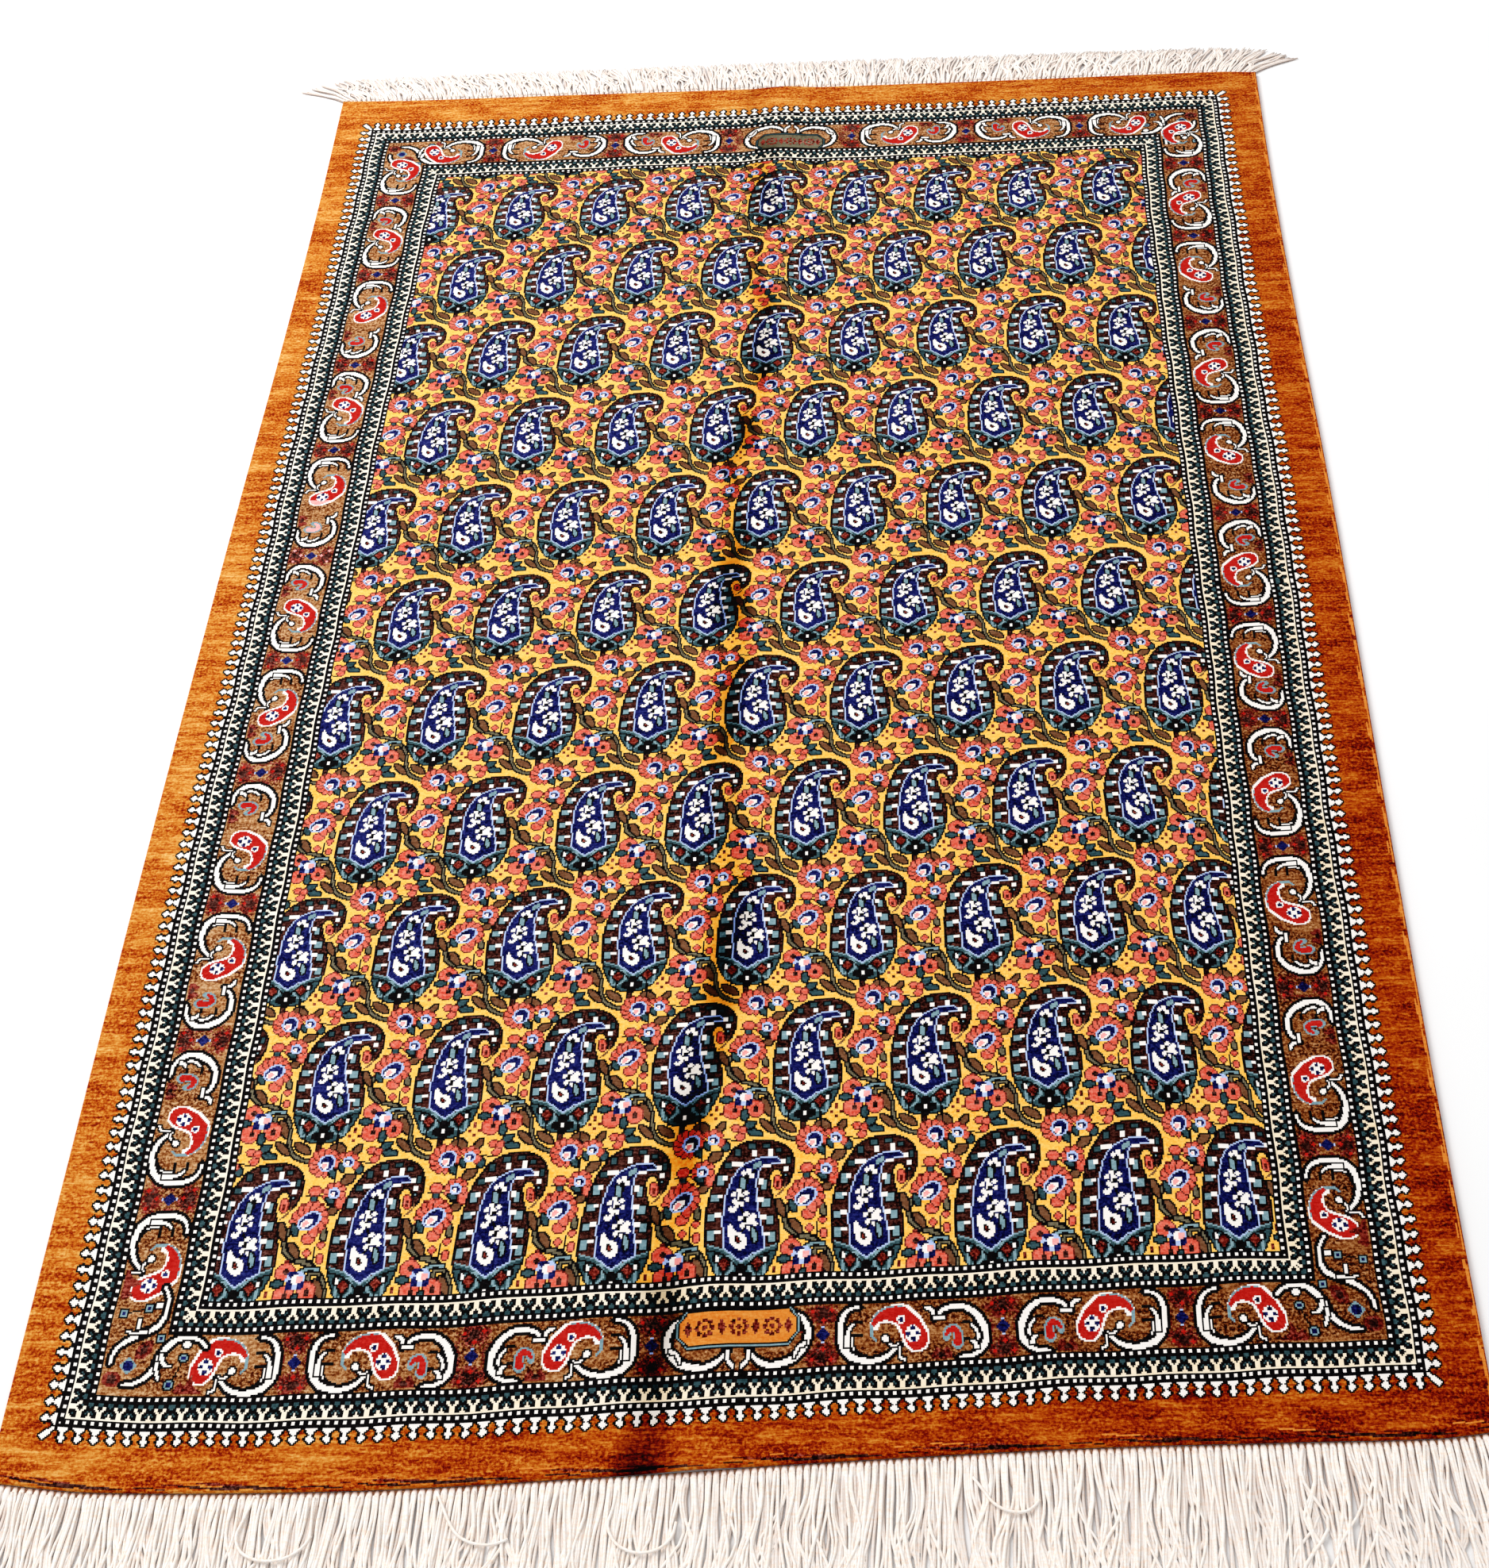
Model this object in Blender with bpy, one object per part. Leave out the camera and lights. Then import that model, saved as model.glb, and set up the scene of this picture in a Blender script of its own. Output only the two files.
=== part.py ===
"""A hand-knotted silk Persian rug, lying flat on a floor.

The rug is one thick textile: a foundation of warps and wefts with a short pile knotted into it. Its
sides bow a little and its ends aren't quite square, and a soft ridge, left by folding, runs down its
length. At both ends a narrow flat-woven heading holds the knotted warp ends, which lie on the floor as
fringe: a long one at the near end and a short one at the far end. All sizes are in metres.
"""

import math

import bmesh
import bpy

# The knotted part of the rug
HALF_WIDTH = 0.495
HALF_LENGTH = 0.756
THICKNESS = 0.0045

# How far each side edge stands out from a straight one, from the near end (-1) to the far end (1)
SIDE_BOWS = (
    # along, left, right
    (-1.00, 0.0017, -0.0088),
    (-0.70, 0.0021, -0.0078),
    (-0.35, 0.0024, -0.0046),
    (0.00, 0.0008, -0.0001),
    (0.20, -0.0007, 0.0016),
    (0.45, -0.0036, 0.0017),
    (0.75, -0.0048, 0.0041),
    (1.00, -0.0028, 0.0090),
)

# How far each end edge stands out from a straight one, from the left side (-1) to the right side (1)
END_BOWS = (
    # across, near, far
    (-1.00, 0.0092, 0.0048),
    (-0.85, 0.0161, 0.0018),
    (-0.50, 0.0160, 0.0011),
    (-0.20, 0.0089, 0.0000),
    (0.10, 0.0003, -0.0011),
    (0.45, -0.0079, -0.0013),
    (0.75, -0.0110, -0.0003),
    (0.92, -0.0126, -0.0001),
    (1.00, -0.0169, -0.0029),
)

# The soft ridges that folding has left: where each runs, how wide its foot is and how high it stands
RIDGE_HALF_WIDTH = 0.042
RIDGES = (
    # across near, across far, height
    (-0.050, -0.022, 0.0034),
)
RIDGE_SWELLS = 3.0
RIDGE_EVENNESS = 0.72

# The grid that the knotted part is made on
LENGTH_STEPS = 26
SIDE_STEPS = 6
RIDGE_STEPS = 8

# The headings, and the gap between them and the knotted part
HEADING_WIDTH = 0.005
HEADING_HEIGHT = 0.0022
HEADING_INSET = 0.002
SEWN_GAP = 0.0003

# The fringes: locks of warp ends, three-sided and flat below, which lie on the floor
LOCKS = 150
LOCK_ROOT_WIDTH = 0.0046
LOCK_TIP_WIDTH = 0.0024
LOCK_TIP_HEIGHT = 0.0012
NEAR_LENGTH = 0.100
FAR_LENGTH = 0.050
NEAR_LOCK_STEPS = 4
FAR_LOCK_STEPS = 3
UNEVEN_LENGTH = 0.06

# How the locks lean: sideways reach of a lock's tip as a share of its length, from left to right
LEANS = (
    # across, near, far
    (-1.00, -0.20, -0.95),
    (-0.93, -0.16, -0.50),
    (-0.75, -0.14, -0.36),
    (-0.40, -0.16, -0.30),
    (0.00, -0.10, -0.06),
    (0.35, 0.02, 0.18),
    (0.70, 0.16, 0.30),
    (0.93, 0.24, 0.50),
    (1.00, 0.30, 0.90),
)
CLUMP_PITCH = 0.043
CLUMP_REACH = 0.0016

SILK_RUST = (0.46, 0.15, 0.025)
SILK_IVORY = (0.86, 0.79, 0.70)


def clear_scene():
    for old in list(bpy.data.objects):
        bpy.data.objects.remove(old, do_unlink=True)


def between(rows, place, column):
    """The value of a table's column at a place, on a smooth curve through its rows."""
    last = len(rows) - 2
    index = 0
    while index < last and place > rows[index + 1][0]:
        index += 1
    low, high = rows[index], rows[index + 1]
    before = rows[max(index - 1, 0)]
    after = rows[min(index + 2, len(rows) - 1)]
    span = high[0] - low[0]
    share = (place - low[0]) / span
    low_slope = (high[column] - before[column]) / (high[0] - before[0]) * span
    high_slope = (after[column] - low[column]) / (after[0] - low[0]) * span
    square = share * share
    cube = square * share
    return (
        (2 * cube - 3 * square + 1) * low[column]
        + (cube - 2 * square + share) * low_slope
        + (3 * square - 2 * cube) * high[column]
        + (cube - square) * high_slope
    )


def plan_point(across, along):
    """A point of the knotted part, from its shares of the width and the length, each from -1 to 1."""
    left = HALF_WIDTH + between(SIDE_BOWS, along, 1)
    right = HALF_WIDTH + between(SIDE_BOWS, along, 2)
    near = HALF_LENGTH + between(END_BOWS, across, 1)
    far = HALF_LENGTH + between(END_BOWS, across, 2)
    x = (right - left) / 2 + across * (left + right) / 2
    y = (far - near) / 2 + along * (near + far) / 2
    return x, y


def ridge_height(across, along):
    """How far the rug is lifted off the floor at a place."""
    lift = 0.0
    for near_across, far_across, height in RIDGES:
        share = (along + 1) / 2
        crest = near_across + (far_across - near_across) * share
        swell = math.sin(math.pi * RIDGE_SWELLS * share) ** 2
        distance = abs(across - crest) * HALF_WIDTH / RIDGE_HALF_WIDTH
        if distance < 1:
            shape = (1 + math.cos(math.pi * distance)) / 2
            lift += height * (RIDGE_EVENNESS + (1 - RIDGE_EVENNESS) * swell) * shape
    return lift


def across_stations(along):
    """Shares of the width at which the grid has its lines: wide steps, and close ones over the ridge."""
    near_across, far_across = RIDGES[0][0], RIDGES[0][1]
    crest = near_across + (far_across - near_across) * (along + 1) / 2
    foot = RIDGE_HALF_WIDTH / HALF_WIDTH
    left_foot = crest - foot
    right_foot = crest + foot
    stations = [-1 + (left_foot + 1) * step / SIDE_STEPS for step in range(SIDE_STEPS)]
    stations += [left_foot + 2 * foot * step / RIDGE_STEPS for step in range(RIDGE_STEPS)]
    stations += [right_foot + (1 - right_foot) * step / SIDE_STEPS for step in range(SIDE_STEPS + 1)]
    return stations


def end_point(across, outward):
    """A point on the knotted part's end edge, on the straight line between the grid's two nearest points."""
    stations = across_stations(outward)
    index = 0
    while index < len(stations) - 2 and across > stations[index + 1]:
        index += 1
    low_x, low_y = plan_point(stations[index], outward)
    high_x, high_y = plan_point(stations[index + 1], outward)
    share = (across - stations[index]) / (stations[index + 1] - stations[index])
    return low_x + (high_x - low_x) * share, low_y + (high_y - low_y) * share


def silk(name, colour, roughness):
    material = bpy.data.materials.new(name)
    material.use_nodes = True
    shader = material.node_tree.nodes["Principled BSDF"]
    shader.inputs["Base Color"].default_value = (*colour, 1.0)
    shader.inputs["Roughness"].default_value = roughness
    shader.inputs["Metallic"].default_value = 0.0
    return material


def add_object(name, work, material):
    """One closed body from a finished mesh, with its faces pointing out."""
    bmesh.ops.recalc_face_normals(work, faces=work.faces[:])
    mesh = bpy.data.meshes.new(name)
    work.to_mesh(mesh)
    work.free()
    mesh.materials.append(material)
    piece = bpy.data.objects.new(name, mesh)
    bpy.context.scene.collection.objects.link(piece)
    return piece


def make_carpet():
    """The knotted part: a top and an underside on one grid, joined round the edge."""
    work = bmesh.new()
    tops = []
    unders = []
    for row in range(LENGTH_STEPS + 1):
        along = -1 + 2 * row / LENGTH_STEPS
        top_row = []
        under_row = []
        for across in across_stations(along):
            x, y = plan_point(across, along)
            lift = ridge_height(across, along)
            top_row.append(work.verts.new((x, y, lift + THICKNESS)))
            under_row.append(work.verts.new((x, y, lift)))
        tops.append(top_row)
        unders.append(under_row)
    columns = len(tops[0]) - 1
    for row in range(LENGTH_STEPS):
        for column in range(columns):
            for sheet in (tops, unders):
                low, high = sheet[row], sheet[row + 1]
                work.faces.new((low[column], low[column + 1], high[column + 1], high[column]))
        for column in (0, columns):
            top_near, top_far = tops[row][column], tops[row + 1][column]
            under_near, under_far = unders[row][column], unders[row + 1][column]
            work.faces.new((top_near, top_far, under_far, under_near))
    for row in (0, LENGTH_STEPS):
        for column in range(columns):
            top, under = tops[row], unders[row]
            work.faces.new((top[column], top[column + 1], under[column + 1], under[column]))
    return add_object("carpet", work, silk("rust_silk_pile", SILK_RUST, 0.5))


def lock_point(across, end, reach, length, outward):
    """A place along a lock's middle, reach being its share of the lock's length."""
    root_x, root_y = end_point(across, outward)
    lean = between(LEANS, across, end)
    clump = CLUMP_REACH * math.sin(2 * math.pi * root_x / CLUMP_PITCH)
    side = lean * length * reach * (0.55 + 0.45 * reach) + clump * reach * reach
    drop = length * math.sqrt(max(1 - lean * lean, 0.1)) * reach
    y = root_y + outward * (SEWN_GAP + HEADING_WIDTH + drop)
    return root_x + side, y


def make_fringe(name, outward, end, length, steps):
    """A heading strip with its locks, drawn out of its outer side."""
    work = bmesh.new()
    spare = HEADING_INSET / HALF_WIDTH
    pitch = 2 * (1 - spare) / LOCKS
    top_inner = []
    under_inner = []
    top_outer = []
    under_outer = []

    def edge_point(across, offset, height):
        x, y = end_point(across, outward)
        return work.verts.new((x, y + outward * (SEWN_GAP + offset), height))

    inner_places = [place for place in across_stations(outward) if abs(place) < 1 - spare]
    for place in [-1 + spare] + inner_places + [1 - spare]:
        top_inner.append(edge_point(place, 0, HEADING_HEIGHT))
        under_inner.append(edge_point(place, 0, 0))
    top_outer.append(edge_point(-1 + spare, HEADING_WIDTH, HEADING_HEIGHT))
    under_outer.append(edge_point(-1 + spare, HEADING_WIDTH, 0))
    root_half = LOCK_ROOT_WIDTH / HALF_WIDTH / 2
    roots = []
    for lock in range(LOCKS):
        across = -1 + spare + pitch * (lock + 0.5)
        crown = edge_point(across, HEADING_WIDTH, HEADING_HEIGHT)
        left = edge_point(across - root_half, HEADING_WIDTH, 0)
        right = edge_point(across + root_half, HEADING_WIDTH, 0)
        top_outer.append(crown)
        under_outer += [left, right]
        roots.append((across, lock, left, right, crown))
    top_outer.append(edge_point(1 - spare, HEADING_WIDTH, HEADING_HEIGHT))
    under_outer.append(edge_point(1 - spare, HEADING_WIDTH, 0))

    # The strip: its top and underside, its inner side, its two ends and what shows between the locks
    work.faces.new(top_inner + top_outer[::-1])
    work.faces.new(under_inner + under_outer[::-1])
    for index in range(len(top_inner) - 1):
        low, high = index, index + 1
        work.faces.new((top_inner[low], top_inner[high], under_inner[high], under_inner[low]))
    for index in (0, -1):
        work.faces.new((top_inner[index], top_outer[index], under_outer[index], under_inner[index]))
    for gap in range(LOCKS + 1):
        low, high = top_outer[gap], top_outer[gap + 1]
        work.faces.new((low, high, under_outer[2 * gap + 1], under_outer[2 * gap]))

    # The locks: three sides each, narrowing to a small closed tip
    for across, lock, left, right, crown in roots:
        uneven = math.sin(lock * 2.4) * 0.6 + math.sin(lock * 0.37 + 1) * 0.4
        lock_length = length * (1 - UNEVEN_LENGTH + UNEVEN_LENGTH * uneven)
        ring = (left, right, crown)
        for step in range(1, steps + 1):
            reach = step / steps
            x, y = lock_point(across, end, reach, lock_length, outward)
            half = (LOCK_ROOT_WIDTH + (LOCK_TIP_WIDTH - LOCK_ROOT_WIDTH) * reach) / 2
            height = HEADING_HEIGHT + (LOCK_TIP_HEIGHT - HEADING_HEIGHT) * reach
            following = (
                work.verts.new((x - half, y, 0)),
                work.verts.new((x + half, y, 0)),
                work.verts.new((x, y, height)),
            )
            for index in range(3):
                after = (index + 1) % 3
                work.faces.new((ring[index], ring[after], following[after], following[index]))
            ring = following
        work.faces.new(ring)
    return add_object(name, work, silk(name + "_silk", SILK_IVORY, 0.65))


def centre_on_origin(pieces):
    """The origin is below the middle of the whole rug, on the floor."""
    xs = [vertex.co.x for piece in pieces for vertex in piece.data.vertices]
    ys = [vertex.co.y for piece in pieces for vertex in piece.data.vertices]
    middle_x = (min(xs) + max(xs)) / 2
    middle_y = (min(ys) + max(ys)) / 2
    for piece in pieces:
        for vertex in piece.data.vertices:
            vertex.co.x -= middle_x
            vertex.co.y -= middle_y
    print("middle of the whole rug:", round(middle_x, 5), round(middle_y, 5))


clear_scene()
centre_on_origin(
    [
        make_carpet(),
        make_fringe("fringe_near", -1, 1, NEAR_LENGTH, NEAR_LOCK_STEPS),
        make_fringe("fringe_far", 1, 2, FAR_LENGTH, FAR_LOCK_STEPS),
    ]
)
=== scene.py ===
# %% [markdown]
# # A silk Persian rug
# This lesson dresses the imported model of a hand-knotted silk rug. The rug lies flat on a floor, with a
# paisley field, a scroll border between dotted guards, a golden rust margin and ivory fringes at both
# ends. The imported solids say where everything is; this script adds the pile with its pattern, the
# foundation under it, the rolled edge and every yarn of the fringes.

import math

import bmesh
import bpy
import numpy as np
from mathutils import Euler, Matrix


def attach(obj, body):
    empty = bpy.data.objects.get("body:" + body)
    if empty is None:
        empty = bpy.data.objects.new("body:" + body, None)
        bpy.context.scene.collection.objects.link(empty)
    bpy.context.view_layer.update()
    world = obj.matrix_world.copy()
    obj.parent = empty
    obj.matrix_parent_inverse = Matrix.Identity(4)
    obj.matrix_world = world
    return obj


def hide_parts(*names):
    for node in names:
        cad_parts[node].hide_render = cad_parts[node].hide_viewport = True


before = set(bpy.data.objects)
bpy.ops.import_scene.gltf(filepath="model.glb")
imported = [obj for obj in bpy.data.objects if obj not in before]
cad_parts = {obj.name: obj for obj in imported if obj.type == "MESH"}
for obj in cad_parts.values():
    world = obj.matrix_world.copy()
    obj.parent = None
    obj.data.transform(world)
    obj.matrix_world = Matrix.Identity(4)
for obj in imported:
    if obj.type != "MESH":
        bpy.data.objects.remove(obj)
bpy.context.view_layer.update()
print("packed nodes:", sorted(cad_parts))

# %% [markdown]
# The camera stands over the near end, looking down at the rug. Its place was solved from the border's
# four corners. The picture's axis is a little to the right of its middle, which a small lens shift gives.

# %% The camera
PICTURE_LONG_SIDE, SHIFT = 1976, -100
CAMERA_PLACE = (0.1183, -1.1971, 1.3361)
CAMERA_TURN = (37.625, 2.775, 0.535)
camera_data = bpy.data.cameras.new("camera")
camera_data.lens = 47.84
camera_data.sensor_width = 36.0
camera_data.shift_x = SHIFT / PICTURE_LONG_SIDE
camera_data.clip_start = 0.05
camera = bpy.data.objects.new("camera", camera_data)
camera.location = CAMERA_PLACE
camera.rotation_euler = Euler([math.radians(angle) for angle in CAMERA_TURN], "XYZ")
bpy.context.scene.collection.objects.link(camera)
bpy.context.scene.camera = camera
print("camera height:", camera.location.z)

# %% [markdown]
# The room is plain: a pale floor, an even white sky for the soft fill, and one large soft lamp high on
# the left, so that the fold and the fringe yarns get a gentle side light. A photographer would hang a
# softbox there. The standard view transform keeps the dyes as saturated as they are.

# %% Floor and light
scene = bpy.context.scene
scene.view_settings.view_transform = "Standard"
scene.view_settings.look = "None"

world = bpy.data.worlds.new("soft_sky")
world.use_nodes = True
sky = world.node_tree.nodes["Background"].inputs
sky["Color"].default_value = (1.0, 1.0, 1.0, 1.0)
sky["Strength"].default_value = 0.68
scene.world = world

lamp_data = bpy.data.lights.new("soft_lamp", "AREA")
lamp_data.shape = "RECTANGLE"
lamp_data.size = 2.6
lamp_data.size_y = 2.0
lamp_data.energy = 100.0
lamp = bpy.data.objects.new("soft_lamp", lamp_data)
lamp.location = (-2.1, 1.3, 2.9)
lamp.rotation_euler = (-lamp.location).to_track_quat("-Z", "Y").to_euler()
scene.collection.objects.link(lamp)
print("lamp:", lamp_data.energy, "W")


# %% [markdown]
# Small helpers for shader nodes. They add a node and feed its inputs with values or with other nodes'
# outputs. With them each material reads as a short list of steps.


# %% Helpers for nodes
def feed(tree, node, feeds):
    """Feeds a node's inputs, by name or number, with values or with other nodes' outputs."""
    for place, value in dict(feeds).items():
        if isinstance(value, bpy.types.NodeSocket):
            tree.links.new(value, node.inputs[place])
        else:
            node.inputs[place].default_value = value


def add_node(tree, kind, feeds=(), **settings):
    """A shader node with its settings and inputs."""
    made = tree.nodes.new("ShaderNode" + kind)
    for name, setting in settings.items():
        setattr(made, name, setting)
    feed(tree, made, feeds)
    return made


def new_material(name):
    """A material, its node tree and its Principled shader."""
    made = bpy.data.materials.new(name)
    made.use_nodes = True
    return made, made.node_tree, made.node_tree.nodes["Principled BSDF"]


def maths(tree, operation, *feeds):
    """A Math node with its inputs in order."""
    return add_node(tree, "Math", enumerate(feeds), operation=operation).outputs[0]


def limits(tree, value, low, high, to_low=0.0, to_high=1.0):
    """A value brought from one range to another, with a soft start and end."""
    feeds = {"Value": value, "From Min": low, "From Max": high, "To Min": to_low, "To Max": to_high}
    return add_node(tree, "MapRange", feeds, interpolation_type="SMOOTHSTEP").outputs["Result"]


def speckle(tree, place, scale, detail=2.0, rough=0.5):
    """A noise texture's value."""
    feeds = {"Vector": place, "Scale": scale, "Detail": detail, "Roughness": rough}
    return add_node(tree, "TexNoise", feeds).outputs["Fac"]


def stretched(tree, place, scale):
    """Coordinates stretched by three scales."""
    return add_node(tree, "Mapping", {"Vector": place, "Scale": scale}).outputs["Vector"]


def blended(tree, share, one, other):
    """Two colours mixed, from all of the first at a share of 0 to all of the other at 1."""
    return add_node(tree, "Mix", {0: share, 6: one, 7: other}, data_type="RGBA").outputs[2]


def place_group(tree, name, **values):
    """A finished node group placed in a tree, with its inputs set by name."""
    return add_node(tree, "Group", values, node_tree=bpy.data.node_groups[name])


def new_group(name, inputs, outputs):
    """A shader node group with named sockets: (name, socket type, default) in and (name, type) out."""
    group = bpy.data.node_groups.new(name, "ShaderNodeTree")
    for label, kind, value in inputs:
        made = group.interface.new_socket(label, in_out="INPUT", socket_type=kind)
        made.default_value = value
    for label, kind in outputs:
        group.interface.new_socket(label, in_out="OUTPUT", socket_type=kind)
    return group, group.nodes.new("NodeGroupInput").outputs, group.nodes.new("NodeGroupOutput").inputs


def linear(colour):
    """A colour given as 0 to 255 on a screen, as the linear values that a shader wants."""
    shares = [part / 255 for part in colour]
    return tuple(s / 12.92 if s < 0.04 else ((s + 0.055) / 1.055) ** 2.4 for s in shares) + (1.0,)


print("helpers ready")

# %% [markdown]
# The floor is a wide pale sheet with a very slight unevenness, so that it is not one flat colour. It has
# an opening that the rug covers, so that the woven back can be looked at from below.

# %% The floor
FLOOR_HALF = 4.0
FLOOR_LEVEL = -0.0004
OPENING = (0.44, 0.68)
floor_mesh = bpy.data.meshes.new("floor")
signs = ((-1, -1), (1, -1), (1, 1), (-1, 1))
corners = [(x * FLOOR_HALF, y * FLOOR_HALF, FLOOR_LEVEL) for x, y in signs]
corners += [(x * OPENING[0], y * OPENING[1], FLOOR_LEVEL) for x, y in signs]
sides = [(start, (start + 1) % 4, (start + 1) % 4 + 4, start + 4) for start in range(4)]
floor_mesh.from_pydata(corners, [], sides)
floor = bpy.data.objects.new("floor", floor_mesh)
scene.collection.objects.link(floor)
floor_paint, tree, shader = new_material("pale_floor")
place = add_node(tree, "TexCoord").outputs["Object"]
tone = limits(tree, speckle(tree, place, 3.0), 0.3, 0.7, 0.96, 0.98)
shade = add_node(tree, "CombineColor", {"Red": tone, "Green": tone, "Blue": tone}).outputs["Color"]
feed(tree, shader, {"Base Color": shade, "Roughness": 0.9, "Specular IOR Level": 0.1})
floor_mesh.materials.append(floor_paint)
print("floor half width:", FLOOR_HALF, "opening:", OPENING)

# %% [markdown]
# The rug's plan. The solids were made on a bowed plan with a soft ridge along the old fold, and the same
# named values are repeated here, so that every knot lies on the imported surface. A place on the rug is
# given by its share across, from -1 at the left to 1 at the right, and its share along, from -1 at the
# near end to 1 at the far end. The bows were measured on the photograph, and a helper program then
# refined them together with the camera.

# %% The plan of the rug
HALF_WIDTH, HALF_LENGTH, THICKNESS = 0.495, 0.756, 0.0045
MIDDLE = (0.00271, -0.03355)
SIDE_BOWS = np.array((
    # along, left, right
    (-1.00, 0.0017, -0.0088), (-0.70, 0.0021, -0.0078), (-0.35, 0.0024, -0.0046), (0.00, 0.0008, -0.0001),
    (0.20, -0.0007, 0.0016), (0.45, -0.0036, 0.0017), (0.75, -0.0048, 0.0041), (1.00, -0.0028, 0.0090),
))
END_BOWS = np.array((
    # across, near, far
    (-1.00, 0.0092, 0.0048), (-0.85, 0.0161, 0.0018), (-0.50, 0.0160, 0.0011), (-0.20, 0.0089, 0.0000),
    (0.10, 0.0003, -0.0011), (0.45, -0.0079, -0.0013), (0.75, -0.0110, -0.0003), (0.92, -0.0126, -0.0001),
    (1.00, -0.0169, -0.0029),
))


def between(rows, place, column):
    """A table's column at many places, on a smooth curve through its rows."""
    place = np.asarray(place, float)
    index = np.clip(np.searchsorted(rows[:, 0], place, "left") - 1, 0, len(rows) - 2)
    before = rows[np.maximum(index - 1, 0)]
    low, high = rows[index], rows[index + 1]
    after = rows[np.minimum(index + 2, len(rows) - 1)]
    span = high[..., 0] - low[..., 0]
    t = (place - low[..., 0]) / span
    low_slope = (high[..., column] - before[..., column]) / (high[..., 0] - before[..., 0]) * span
    high_slope = (after[..., column] - low[..., column]) / (after[..., 0] - low[..., 0]) * span
    start = (2 * t**3 - 3 * t**2 + 1) * low[..., column] + (t**3 - 2 * t**2 + t) * low_slope
    return start + (3 * t**2 - 2 * t**3) * high[..., column] + (t**3 - t**2) * high_slope


def plan_point(across, along):
    """The place (x, y) of shares across and along, in metres."""
    left = HALF_WIDTH + between(SIDE_BOWS, along, 1)
    right = HALF_WIDTH + between(SIDE_BOWS, along, 2)
    near_end = HALF_LENGTH + between(END_BOWS, across, 1)
    far_end = HALF_LENGTH + between(END_BOWS, across, 2)
    x = (right - left) / 2 + across * (left + right) / 2 - MIDDLE[0]
    y = (far_end - near_end) / 2 + along * (near_end + far_end) / 2 - MIDDLE[1]
    return x, y


print("near left corner:", [float(np.round(value, 4)) for value in plan_point(-1.0, -1.0)])

# %% [markdown]
# The old fold. The rug was once folded lengthways, and a low soft ridge still runs from end to end. It
# could be sculpted, but a formula gives the pile, the foundation and the rolled edge the same height: a
# rounded bump along a slanting crest, which swells a little in three places.

# %% The fold
RIDGE_HALF_WIDTH = 0.042
# the crest's share across at the near end and the far end, and its height
RIDGE = (-0.050, -0.022, 0.0034)
RIDGE_SWELLS, RIDGE_EVENNESS = 3.0, 0.72


def ridge_height(across, along):
    """How far the rug is lifted off the floor along its old fold."""
    share = (along + 1) / 2
    crest = RIDGE[0] + (RIDGE[1] - RIDGE[0]) * share
    swell = np.sin(math.pi * RIDGE_SWELLS * share) ** 2
    distance = np.minimum(np.abs(across - crest) * HALF_WIDTH / RIDGE_HALF_WIDTH, 1)
    bump = (1 + np.cos(math.pi * distance)) / 2
    return RIDGE[2] * (RIDGE_EVENNESS + (1 - RIDGE_EVENNESS) * swell) * bump


print("highest lift:", round(float(ridge_height(np.array(-0.045), np.array(-0.67))), 5))

# %% [markdown]
# The silks. A rug of this kind is knotted from some eighteen dyed silks, and the weaver reads a chart
# that names one of them for every knot. The same idea makes the model: each silk is a material, and the
# chart is a table of whole numbers, one for each knot. An image could hold the pattern as well, but a
# chart painted by code stays sharp at any distance and can be changed motif by motif.

# %% The dyed silks
SILKS = {
    # name: (red, green, blue) as seen on the rug, 0 to 255
    "gold": (250, 200, 98),
    "rust": (186, 84, 8),
    "ochre": (150, 88, 40),
    "black": (5, 3, 4),
    "white": (248, 243, 238),
    "cream": (249, 238, 218),
    "slate": (48, 78, 84),
    "mist": (128, 160, 168),
    "navy": (10, 14, 78),
    "maroon": (52, 15, 9),
    "crimson": (188, 26, 18),
    "coral": (224, 106, 84),
    "sky": (184, 202, 238),
    "olive": (112, 104, 80),
    "brown": (118, 74, 46),
    "brick": (112, 22, 12),
    "rose": (246, 176, 172),
    "amber": (222, 136, 50),
}
NAMES = list(SILKS)
CODE = {name: number for number, name in enumerate(NAMES)}
BARE = -1
print("silks:", len(NAMES))

# %% [markdown]
# The rug's size in knots. The pile is 870 knots wide and 1318 long, a knot being 1.15 mm each way. The
# plain margins differ a little from side to side, as they do on a hand-knotted rug. All places below are
# in knots: x to the right, y from the far end towards the near end.

# %% The layout in knots
WIDE, LONG = 870, 1318
LEFT_MARGIN, FAR_MARGIN = 34, 44
GUARD_WIDE, GUARD_LONG = 796, 1234
GUARD, BORDER = 20, 36
FIELD_EDGE = 2 * GUARD + BORDER
chart = np.full((LONG, WIDE), CODE["rust"], np.int8)
print("knots in the chart:", chart.size)

# %% [markdown]
# The drawing tools. Each motif is painted as a weaver's draughtsman would: smooth outlines are laid over
# squared paper, and each square whose middle falls inside becomes a knot of that silk. Outlines are one
# knot wide and stepped, so the pattern keeps the stair-like edges that real knots give.


# %% Drawing on squared paper
SMOOTH_STEPS = 5


def paper(wide, high):
    """A blank piece of squared paper."""
    return np.full((high, wide), BARE, np.int8)


def squares(art, origin):
    """The middle of every square, measured from the origin."""
    high, wide = art.shape
    ys, xs = np.mgrid[0:high, 0:wide]
    return xs + 0.5 - origin[0], ys + 0.5 - origin[1]


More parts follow.
